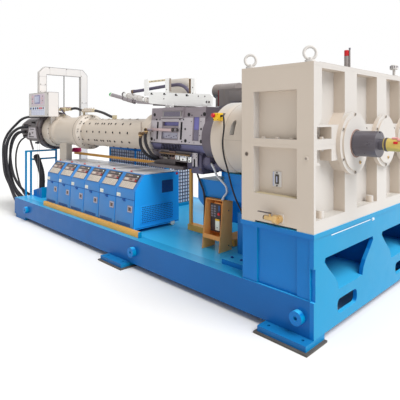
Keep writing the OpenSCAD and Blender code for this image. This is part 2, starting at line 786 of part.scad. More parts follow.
module front_barrel() color(beige)
    lathe_x(axis_y, axis_z, [
        [0, clamp_x1], [head_flange_r, clamp_x1], [head_flange_r, collar_x0],
        [collar_r, collar_x0], [collar_r, collar_x1 - 0.1], [front_barrel_r, collar_x1 + cone_l],
        [front_barrel_r, mid_flange_x0], [0, mid_flange_x0]
    ]);

valve_bar_z = axis_z + 317;
valve_bar_x = [clamp_x1 - 70, mid_flange_x0 - 411];
manifold_x = [mid_flange_x0 - 60, mid_flange_x0 + 245];
manifold_z = axis_z + 285;
nipple_x = mid_flange_x0 + 705;
small_pipe_r = 7;
small_pipe_y = axis_y + 130;

module barrel_fittings() color([0.72, 0.56, 0.28]) {
    bar_x(valve_bar_x[0], valve_bar_x[1], 14, axis_y, valve_bar_z);
    translate([collar_x0 + 45, axis_y, axis_z + collar_r])
        cylinder(h = valve_bar_z - axis_z - collar_r, r = 12, $fn = round_fn);
    bar_y(axis_y, small_pipe_y + 13, small_pipe_r + 3, valve_bar_x[0] + 17, valve_bar_z);
    translate([valve_bar_x[0] + 17, small_pipe_y, valve_bar_z])
        cylinder(h = duct_z - duct_w - valve_bar_z, r = small_pipe_r, $fn = round_fn);
    block([manifold_x[0], axis_y - 25, manifold_z - 20], [manifold_x[1], axis_y + 25, manifold_z + 22]);
    translate([manifold_x[0] + 20, axis_y, axis_z + front_barrel_r])
        cylinder(h = manifold_z - axis_z - front_barrel_r, r = 14, $fn = round_fn);
    difference() {
        bar_y(axis_y - 285, axis_y - rear_flange_r + 60, hose_port_r, feed_x0 - 60, axis_z + 20);
        bar_x(rear_flange_x0 - edge, feed_x0 + edge, rear_flange_r + fit_gap, axis_y, axis_z);
    }
    block([nipple_x, axis_y - 22, axis_z + barrel_r], [nipple_x + 40, axis_y + 22, axis_z + barrel_r + 46]);
}

leg_x = mid_flange_x0 - 468;
leg_half = 105;
leg_y1 = axis_y - 15;

module barrel_leg() color(beige)
    difference() {
        block([leg_x - leg_half, axis_y - 100, deck_z],
            [leg_x + leg_half, leg_y1, axis_z - front_barrel_r + 60]);
        bar_x(leg_x - leg_half - edge, leg_x + leg_half + edge, front_barrel_r + fit_gap, axis_y, axis_z);
        bar_x(leg_x - leg_half - edge, collar_x1 + cone_l, collar_r + fit_gap, axis_y, axis_z);
    }

hinge_y = axis_y - clamp_r;

module clamp_ring() color(dark) {
    lathe_x(axis_y, axis_z, [
        [0, clamp_x0], [clamp_r - 20, clamp_x0], [clamp_r, clamp_x0 + 20],
        [clamp_r, clamp_x1 - 12], [clamp_r - 12, clamp_x1], [0, clamp_x1]
    ]);
    difference() {
        prism_y(hinge_y - 20, hinge_y, [
            [clamp_x0 - 155, axis_z + 62], [clamp_x0 + 109, axis_z + 65],
            [clamp_x0 + 189, axis_z - 144], [clamp_x0 - 223, axis_z - 139]
        ]);
        bar_y(hinge_y - 21, hinge_y + edge, 22, clamp_x0 - 129, axis_z - 64);
    }
    block([clamp_x0 + 30, hinge_y - edge, axis_z - 70], [clamp_x0 + 90, hinge_y + 60, axis_z + 20]);
    rod_xz([clamp_x0 - 130, axis_z - 130], [clamp_x0 - 15, axis_z - 282], 14, hinge_y - 8);
}

module die_head() color(dark)
    lathe_x(axis_y, axis_z, [
        [0, head_x0], [head_end_r, head_x0], [head_end_r, head_end_x1], [head_r, head_end_x1 + 30],
        [head_r, clamp_x0], [0, clamp_x0]
    ]);

// ---- temperature units ----
unit_x1 = feed_x0 - 10;
unit_y0 = base_y0 + 100;
unit_lean = 25;
unit_count = 6;
unit_kink = 155;
unit_gap = 1;

module temperature_unit(i) {
    x1 = unit_x1 - (i - 1) * unit_w;
    z0 = deck_z + unit_under;
    z1 = deck_z + unit_h;
    color(deep_blue) {
        prism_x(x1 - unit_w + unit_gap, x1, [
            [unit_y0, z0], [unit_y0 + unit_lean, z1 - unit_kink], [unit_y0 + 145, z1],
            [unit_y0 + unit_d, z1 - 5], [unit_y0 + unit_d, z0]
        ]);
        for (x = [x1 - unit_w + 50, x1 - 50], y = [unit_y0 + 60, unit_y0 + unit_d - 60])
            translate([x, y, deck_z]) cylinder(h = unit_under + edge, r = 22, $fn = 24);
    }
}

// ---- orange rails, stand ----
post_x0 = feed_x0 + 247;
post_x1 = post_x0 + 33;
post_y0 = axis_y + 125;
post_y1 = post_y0 + 24;
channel_h = 60;
rail_z0 = axis_z - 347;
rail_z1 = axis_z - 314;
rail_x0 = feed_x0 - 2290;
channel_x0 = feed_x0 + 235;
channel_x1 = feed_x1 + 170;

module orange_rails() color(orange) {
    block([unit_x1 - unit_count * unit_w + 10, unit_y0 - 40, deck_z],
        [unit_x1 + 150, unit_y0 - 6, deck_z + 55]);
    block([post_x0, post_y0, deck_z], [post_x1, post_y1, rail_z1]);
    block([rail_x0, post_y0 + 4, rail_z0], [post_x0 + edge, post_y1, rail_z1]);
    block([channel_x0, post_y0 - 10, deck_z], [channel_x1, post_y0 + 70, deck_z + channel_h]);
    block([feed_x1 - 10, post_y0 - 105, deck_z], [channel_x1, post_y0 + 245, deck_z + channel_h]);
}

stand_x0 = feed_x1 - 7;
stand_x1 = stand_x0 + 212;
stand_z1 = deck_z + 450;
stand_t = 6;
stand_y = axis_y - 41;
lip_z = deck_z + 101;

module stand_side(x)
    prism_x(x, x + stand_t, [
        [stand_y - 184, deck_z], [stand_y - 132, stand_z1], [stand_y, stand_z1], [stand_y - 18, deck_z]
    ]);

module control_stand() color(orange) {
    stand_side(stand_x0);
    stand_side(stand_x1 - stand_t);
    block([stand_x0, stand_y - 132, stand_z1 - stand_t], [stand_x1, stand_y, stand_z1]);
    block([stand_x0, stand_y - 173, lip_z], [stand_x1, stand_y - 166, lip_z + 39]);
    block([stand_x0, stand_y - 172, lip_z], [stand_x1, stand_y - 15, lip_z + stand_t]);
    block([stand_x0, stand_y - 21, lip_z], [stand_x1, stand_y - 15, stand_z1 - stand_t + edge]);
    block([stand_x0 + 75, stand_y - 99, lip_z + 54], [stand_x1 - 50, stand_y - 20, stand_z1 - 35]);
}

// ---- cabinet, duct ----
cabinet_x1 = collar_x0 + 128;
cabinet_x0 = cabinet_x1 - cabinet_w;
cabinet_y0 = axis_y - 280;
cabinet_y1 = cabinet_y0 + cabinet_d;
cabinet_z0 = axis_z + 210;
cabinet_z1 = cabinet_z0 + cabinet_h;
duct_x = clamp_x1 - 73;
duct_y0 = cabinet_y0 + 17;
duct_y1 = axis_y + 525;
duct_cut = 82;
bracket_half = 12;

module operator_cabinet() color(white) {
    block([collar_x0, cabinet_y0, cabinet_z0], [cabinet_x1, cabinet_y1, cabinet_z1]);
    prism_x(cabinet_x0, collar_x0 + edge, [
        [cabinet_y0, cabinet_z0], [cabinet_y1 - 95, cabinet_z0], [cabinet_y1, cabinet_z0 + 70],
        [cabinet_y1, cabinet_z1], [cabinet_y0, cabinet_z1]
    ]);
    difference() {
        block([collar_x0 + 4, cabinet_y1 - 60, axis_z + 100],
            [collar_x0 + 4 + 2 * bracket_half, cabinet_y1 - 5, cabinet_z0 + edge]);
        bar_x(collar_x0, collar_x1, collar_r + fit_gap, axis_y, axis_z);
    }
}

module cable_duct() color(white)
    prism_x(duct_x - duct_d / 2, duct_x + duct_d / 2, [
        [duct_y0, cabinet_z1], [duct_y0, duct_z - duct_cut], [duct_y0 + duct_cut, duct_z],
        [duct_y1 - duct_cut, duct_z], [duct_y1, duct_z - duct_cut], [duct_y1, deck_z],
        [duct_y1 - duct_w, deck_z], [duct_y1 - duct_w, duct_z - duct_w],
        [duct_y0 + duct_w, duct_z - duct_w], [duct_y0 + duct_w, cabinet_z1]
    ]);

// ---- left end ----
frame_x0 = base_x0 + 3;
frame_x1 = frame_x0 + 25;
suction_y0 = -695;
suction_y1 = -605;
suction_foot = [clamp_x0 - 193, deck_z + 63];
suction_slope = 0.241;
frame_y = [-821, -745, -343];

// Underside of the suction duct at a place along the line
function suction_low(x) = suction_foot[1] + (x - suction_foot[0]) * suction_slope;

module head_frame() color(blue) {
    prism_y(suction_y0 - 20, suction_y1 + 100, [
        [clamp_x0 - 90, deck_z], [clamp_x0 + 200, deck_z],
        [clamp_x0 + 200, suction_low(clamp_x0 + 200)], [clamp_x0 - 90, suction_low(clamp_x0 - 90)]
    ]);
    for (y = frame_y) block([frame_x0, y, deck_z], [frame_x1, y + 25, 951]);
    block([frame_x0, frame_y[0], 950], [frame_x1, frame_y[2] + 25, 975]);
    block([frame_x0, frame_y[1], 824], [frame_x1, suction_y0, 848]);
    block([frame_x0, suction_y1, 824], [frame_x1, frame_y[2] + edge, 848]);
}

module suction_duct() color(rubber)
    prism_y(suction_y0, suction_y1, [
        [clamp_x0 - 172, deck_z + 573], [clamp_x0 - 47, deck_z + 442], [clamp_x0 + 28, deck_z + 312],
        [clamp_x0 + 34, deck_z + 235], [clamp_x0 + 20, suction_low(clamp_x0 + 20)],
        [clamp_x0 + 90, suction_low(clamp_x0 + 90)], [clamp_x0 + 106, deck_z + 235],
        [clamp_x0 + 97, deck_z + 337], [clamp_x0 + 15, deck_z + 478], [clamp_x0 - 100, deck_z + 607]
    ]);

// ---- drive ----
motor_y = shaft_y[2];
motor_x0 = feed_x0 + 150;
motor_x1 = throat_x0 + 110;
motor_half = 330;
motor_z0 = axis_z - 320;
motor_z1 = axis_z + 320;
box_z1 = axis_z + 520;
blower_y = motor_y - 230;

module drive_motor() color(steel) {
    block([motor_x0, motor_y - motor_half, motor_z0], [motor_x1, motor_y + motor_half, motor_z1]);
    block([motor_x0 - 10, motor_y - motor_half, motor_z1 - edge], [motor_x1, motor_y + 200, box_z1]);
    bar_x(motor_x0 - 130, motor_x0 + 230, 85, blower_y, box_z1 - 15);
    translate([motor_x0 - 75, blower_y, motor_z1]) cylinder(h = box_z1 - motor_z1, r = 54, $fn = round_fn);
    block([motor_x0 + 40, motor_y - motor_half, deck_z],
        [motor_x1 - 40, motor_y + motor_half, motor_z0 + edge]);
    bar_x(motor_x1 - edge, gear_x0, 120, motor_y, axis_z);
}

module cooling_unit() color(blue)
    block([feed_x0 - 2080, shaft_y[1] + 70, deck_z], [feed_x0 - 710, shaft_y[2] + 60, deck_z + 760]);

// ---- cords ----
// A smooth curve through the points p, with m steps for each span
function spline(p, m) = [
    for (i = [0:len(p) - 2], k = [0:m - 1]) let (t = k / m, a = p[max(i - 1, 0)], b = p[i],
        c = p[i + 1], d = p[min(i + 2, len(p) - 1)])
        0.5 * (2 * b + t * (c - a) + t * t * (2 * a - 5 * b + 4 * c - d) + t * t * t * (3 * b - a - 3 * c + d)),
    p[len(p) - 1]
];

function unit(v) = v / norm(v);
function along(q, i) = unit(q[min(i + 1, len(q) - 1)] - q[max(i - 1, 0)]);

// A tube swept along the points q, with its rings square to the route
module tube(q, r, sides) {
    n = len(q);
    flat = [0.31, 0.94, 0.13];
    rings = [
        for (i = [0:n - 1]) let (t = along(q, i), u = unit(cross(t, flat)), w = cross(t, u))
            for (k = [0:sides - 1]) q[i] + r * (cos(360 * k / sides) * u + sin(360 * k / sides) * w)
    ];
    walls = [
        for (i = [0:n - 2], k = [0:sides - 1]) let (a = i * sides + k, b = i * sides + (k + 1) % sides)
            [a, a + sides, b + sides, b]
    ];
    ends = [[for (k = [0:sides - 1]) k], [for (k = [sides - 1:-1:0]) (n - 1) * sides + k]];
    translate([feed_x0 - route_feed_x0, 0, 0])
        polyhedron(points = rings, faces = concat(walls, ends), convexity = 6);
}

stop_route = [[1522, -768, 1478], [1545, -780, 1482], [1568, -796, 1472], [1583, -806, 1436], [1587, -810, 1371],
    [1574, -812, 1250], [1592, -808, 1131], [1622, -802, 1037], [1662, -795, 898], [1698, -780, 795],
    [1745, -765, 700], [1785, -755, 560], [1800, -750, 430], [1800, -750, 329]];
conduit_route = [[1335, -703, 1062], [1350, -703, 1050], [1372, -695, 1010], [1385, -680, 960], [1420, -660, 915],
    [1455, -640, 870], [1455, -625, 820], [1420, -615, 780], [1398, -613, 755], [1395, -613, 738]];
drive_route = [[1063, -606, 937], [1085, -606, 895], [1112, -607, 850], [1140, -607, 800], [1155, -607, 750],
    [1162, -608, 650], [1160, -610, 500], [1160, -610, 400], [1160, -610, 289]];
feed_route_1 = [[450, -742, 1325], [441, -744, 1300], [434, -744, 1265], [435, -740, 1215], [446, -728, 1165],
    [466, -708, 1115], [484, -680, 1078], [492, -645, 1058], [490, -604, 1050]];
feed_route_2 = [[350, -737, 1283], [343, -740, 1240], [346, -738, 1190], [362, -730, 1140], [390, -712, 1098],
    [418, -685, 1066], [430, -645, 1045], [428, -604, 1038]];
bracket_route = [[-45, -560, 1766], [0, -556, 1768], [60, -532, 1774], [140, -497, 1785], [240, -477, 1795],
    [369, -475, 1802], [493, -475, 1807], [612, -475, 1810], [680, -475, 1803], [745, -475, 1778],
    [795, -475, 1737], [822, -475, 1694]];
barrel_route_1 = [[-1712, -460, 1600], [-1680, -460, 1603], [-1620, -460, 1606], [-1540, -460, 1601],
    [-1450, -460, 1583], [-1369, -460, 1568]];
barrel_route_2 = [[-1056, -460, 1564], [-1020, -460, 1562], [-949, -460, 1552], [-833, -460, 1530],
    [-735, -460, 1504], [-660, -460, 1485], [-604, -460, 1478]];
head_route_1 = [[-2345, -560, 1482], [-2600, -570, 1488], [-2910, -610, 1485], [-3050, -660, 1445],
    [-3140, -720, 1355], [-3200, -780, 1265], [-3240, -830, 1170], [-3225, -880, 1035],
    [-3150, -910, 820], [-3015, -930, 590], [-2800, -935, 430], [-2650, -932, 320], [-2560, -930, 270], [-2504, -930, 255]];
head_route_2 = [[-3208, -570, 1320], [-3250, -580, 1317], [-3310, -625, 1290], [-3355, -690, 1230], [-3350, -750, 1150],
    [-3310, -805, 1040], [-3255, -845, 890], [-3215, -860, 740], [-3155, -865, 570], [-2940, -865, 350],
    [-2700, -880, 200], [-2570, -885, 160], [-2504, -885, 150]];
head_route_3 = [[-3204, -530, 1245], [-3250, -540, 1242], [-3310, -570, 1228], [-3350, -625, 1180], [-3325, -690, 1090],
    [-3265, -745, 970], [-3225, -780, 810], [-3190, -790, 615], [-3030, -785, 380],
    [-2750, -790, 270], [-2570, -790, 235], [-2504, -790, 230]];
head_route_4 = [[-3204, -470, 1160], [-3260, -480, 1156], [-3330, -510, 1130], [-3365, -560, 1070], [-3340, -610, 990],
    [-3250, -670, 880], [-3145, -715, 760], [-3060, -735, 620], [-2900, -735, 390],
    [-2720, -725, 250], [-2580, -720, 200], [-2504, -720, 190]];
head_route_5 = [[-2700, -656, 1330], [-2704, -690, 1330], [-2722, -735, 1328], [-2765, -780, 1318],
    [-2840, -820, 1285], [-2940, -850, 1220], [-3030, -870, 1120], [-3078, -880, 1000], [-3085, -885, 850],
    [-3050, -885, 700], [-2970, -885, 550], [-2850, -880, 420], [-2700, -865, 310], [-2590, -852, 250],
    [-2504, -848, 232]];
head_route_6 = [[-2880, -660, 1250], [-2884, -690, 1250], [-2902, -728, 1246], [-2945, -762, 1230],
    [-3010, -785, 1185], [-3080, -800, 1100], [-3120, -808, 980], [-3122, -810, 850], [-3085, -808, 700],
    [-3005, -800, 550], [-2895, -780, 430], [-2780, -745, 340], [-2670, -700, 280], [-2590, -672, 250],
    [-2504, -660, 240]];
feed_hose_r = 16;
head_hose_r = 20;
route_feed_x0 = 410;

module stop_cable() color(rubber) tube(spline(stop_route, 3), 7, 8);
module stand_conduit() color(steel) tube(spline(conduit_route, 3), 10, 8);
module drive_hose() color(rubber) tube(spline(drive_route, 3), 9, 8);
module feed_hose_1() color(rubber) tube(spline(feed_route_1, 2), feed_hose_r, 8);
module feed_hose_2() color(rubber) tube(spline(feed_route_2, 2), feed_hose_r, 8);
module bracket_hose() color(rubber) tube(spline(bracket_route, 2), 18, 8);
module barrel_hose_1() color(rubber) tube(spline(barrel_route_1, 2), 18, 8);
module barrel_hose_2() color(rubber) tube(spline(barrel_route_2, 2), 17, 8);
module head_hose_1() color(rubber) tube(spline(head_route_1, 3), head_hose_r, 10);
module head_hose_2() color(rubber) tube(spline(head_route_2, 3), head_hose_r, 10);
module head_hose_3() color(rubber) tube(spline(head_route_3, 3), head_hose_r, 10);
module head_hose_4() color(rubber) tube(spline(head_route_4, 3), 14, 8);
module head_hose_5() color(rubber) tube(spline(head_route_5, 4), head_hose_r, 10);
module head_hose_6() color(rubber) tube(spline(head_route_6, 3), head_hose_r, 10);

base_side_beams();
lifting_bosses();
base_deck();
base_cross_members();
base_feet();
pedestal_walls();
pedestal_end_plate();
pedestal_top_plate();
gearbox_lower_case();
gearbox_upper_case();
gearbox_top_cover();
gearbox_eye_bolts();
bearing_covers();
output_hub();
rotary_union();
drain_valve();
drain_valve_lever();
gearbox_fittings();
throat_housing();
throat_pedestal();
emergency_stop();
feed_housing();
feed_tray();
feed_roll_drive();
hopper_frame();
feed_cylinders();
pin_barrel();
front_barrel();
barrel_fittings();
barrel_leg();
clamp_ring();
die_head();
for (i = [1:unit_count])
    temperature_unit(i);
orange_rails();
control_stand();
operator_cabinet();
cable_duct();
head_frame();
suction_duct();
drive_motor();
cooling_unit();
stop_cable();
stand_conduit();
drive_hose();
feed_hose_1();
feed_hose_2();
bracket_hose();
barrel_hose_1();
barrel_hose_2();
head_hose_1();
head_hose_2();
head_hose_3();
head_hose_4();
head_hose_5();
head_hose_6();
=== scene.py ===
"""Looks for the rubber extrusion line: camera, hoses, materials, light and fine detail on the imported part."""
import json
import math

import bmesh
import bpy
from mathutils import Matrix, Vector


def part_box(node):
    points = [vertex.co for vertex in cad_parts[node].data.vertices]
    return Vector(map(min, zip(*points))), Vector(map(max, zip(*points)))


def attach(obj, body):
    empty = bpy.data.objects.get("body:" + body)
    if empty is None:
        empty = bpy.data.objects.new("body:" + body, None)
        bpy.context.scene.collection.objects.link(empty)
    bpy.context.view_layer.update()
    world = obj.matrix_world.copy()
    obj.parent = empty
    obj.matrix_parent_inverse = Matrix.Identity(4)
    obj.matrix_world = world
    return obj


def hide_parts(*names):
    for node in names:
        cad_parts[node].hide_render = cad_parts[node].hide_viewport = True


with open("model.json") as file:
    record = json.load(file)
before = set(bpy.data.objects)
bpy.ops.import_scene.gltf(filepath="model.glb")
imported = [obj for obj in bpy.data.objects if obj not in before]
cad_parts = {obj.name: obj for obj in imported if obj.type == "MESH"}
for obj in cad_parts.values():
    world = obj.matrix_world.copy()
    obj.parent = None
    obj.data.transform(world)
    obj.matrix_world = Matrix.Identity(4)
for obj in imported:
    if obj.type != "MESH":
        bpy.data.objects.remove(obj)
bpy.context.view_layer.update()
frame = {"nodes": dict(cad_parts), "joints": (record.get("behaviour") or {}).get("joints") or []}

MM = 0.001
MACHINE = "machine"

# ---- camera ----
cam_data = bpy.data.cameras.new("camera")
cam_data.sensor_width = 36.0
cam_data.lens = 37.19
cam_data.shift_y = -0.2021
cam_data.clip_start = 0.05
cam = bpy.data.objects.new("camera", cam_data)
bpy.context.scene.collection.objects.link(cam)
cam.location = (3.8648, -3.3057, 1.4516)
cam.rotation_euler = (math.pi / 2, 0.0, math.atan2(0.7156, 0.6985))
bpy.context.scene.camera = cam


# ---- materials ----
def rgb(r, g, b):
    """A colour given as 0-255 screen values, made linear."""
    out = []
    for c in (r, g, b):
        c /= 255.0
        out.append(c / 12.92 if c <= 0.04045 else ((c + 0.055) / 1.055) ** 2.4)
    return (*out, 1.0)


def shade(color, k):
    """The colour made lighter or darker by the factor k."""
    return (*(min(1.0, c * k) for c in color[:3]), 1.0)


def node(tree, kind, feeds=None, **values):
    """A new shader node, with some inputs set and some fed by the outputs of other nodes."""
    made = tree.nodes.new("ShaderNode" + kind)
    for key, value in values.items():
        made.inputs[key.replace("_", " ")].default_value = value
    for key, output in (feeds or {}).items():
        tree.links.new(output, made.inputs[key])
    return made


def noise(tree, place, scale, detail):
    """A cloudy pattern over the place."""
    return node(tree, "TexNoise", {"Vector": place}, Scale=scale, Detail=detail).outputs["Fac"]


def ramp(tree, factor, low, high, start, end):
    """The colours low to high, while the factor goes from start to end."""
    made = node(tree, "ValToRGB", {"Fac": factor})
    for element, color, position in zip(made.color_ramp.elements, (low, high), (start, end)):
        element.color = color
        element.position = position
    return made.outputs["Color"]


def blend(tree, factor, a, b, mode="MIX"):
    """Two colours mixed by a factor, each a value or the output of another node."""
    made = tree.nodes.new("ShaderNodeMix")
    made.data_type = "RGBA"
    made.blend_type = mode
    for key, value in (("Factor", factor), ("A", a), ("B", b)):
        if isinstance(value, bpy.types.NodeSocket):
            tree.links.new(value, made.inputs[key])
        else:
            made.inputs[key].default_value = value
    return made.outputs["Result"]


def material(name, color, rough=0.4, metal=0.0, coat=0.0, vary=0.12, scale=2.2, grain=260.0, bump=0.06,
             top=None, side=None, streak=0.0, edge=0.0025, stretch=(1, 1, 1), shine=0.25):
    """Paint, metal or rubber: cloudy colour, uneven gloss, fine surface grain and softened edges.

    Colours are 0-255 screen values; top and side are painted light: lighter or darker copies of the colour for
    faces that look up and along +X, set by how the light falls on them. The clouds change the colour by the
    share vary, streak adds brushed lines along stretch, and edge is the radius of the softened edges in metres.
    """
    def ends(c):
        """The dark and the light end of a colour's clouds."""
        return shade(rgb(*c), 1.0 - vary), shade(rgb(*c), 1.0 + vary * 0.5)

    m = bpy.data.materials.new(name)
    m.use_nodes = True
    t = m.node_tree
    p = t.nodes["Principled BSDF"]
    p.inputs["Metallic"].default_value = metal
    p.inputs["Coat Weight"].default_value = coat
    p.inputs["Coat Roughness"].default_value = 0.12
    p.inputs["Specular IOR Level"].default_value = shine
    place = node(t, "TexCoord").outputs["Object"]
    cloud = noise(t, place, scale, 5.0)
    out = ramp(t, cloud, *ends(color), 0.32, 0.68)
    if streak:
        brushed = node(t, "Mapping", {"Vector": place}, Scale=stretch).outputs["Vector"]
        dark, light = (1.0 - streak,) * 3 + (1.0,), (1.0,) * 4
        lines = ramp(t, noise(t, brushed, 40.0, 3.0), dark, light, 0.35, 0.65)
        out = blend(t, 1.0, out, lines, "MULTIPLY")
    # Faces that look along +X or up take the side or top colour: painted light, as lit and shaded copies of the
    # colour.
    for axis, other in (("X", side), ("Z", top)):
        if other is None:
            continue
        normal = node(t, "NewGeometry").outputs["Normal"]
        facing = node(t, "SeparateXYZ", {"Vector": normal}).outputs[axis]
        painted_light_share = node(t, "MapRange", {"Value": facing}, From_Min=0.70, From_Max=0.97)
        out = blend(t, painted_light_share.outputs["Result"], out, blend(t, cloud, *ends(other)))
    t.links.new(out, p.inputs["Base Color"])
    gloss = node(t, "MapRange", {"Value": noise(t, place, scale * 5, 3.0)},
                 To_Min=max(0.04, rough - 0.08), To_Max=min(1.0, rough + 0.10))
    t.links.new(gloss.outputs["Result"], p.inputs["Roughness"])
    peel = node(t, "Bump", {"Height": noise(t, place, grain, 2.0)}, Strength=bump, Distance=0.002)
    if edge:
        rounded = node(t, "Bevel", Radius=edge)
        rounded.samples = 4
        t.links.new(rounded.outputs["Normal"], peel.inputs["Normal"])
    t.links.new(peel.outputs["Normal"], p.inputs["Normal"])
    m.diffuse_color = rgb(*color)
    return m


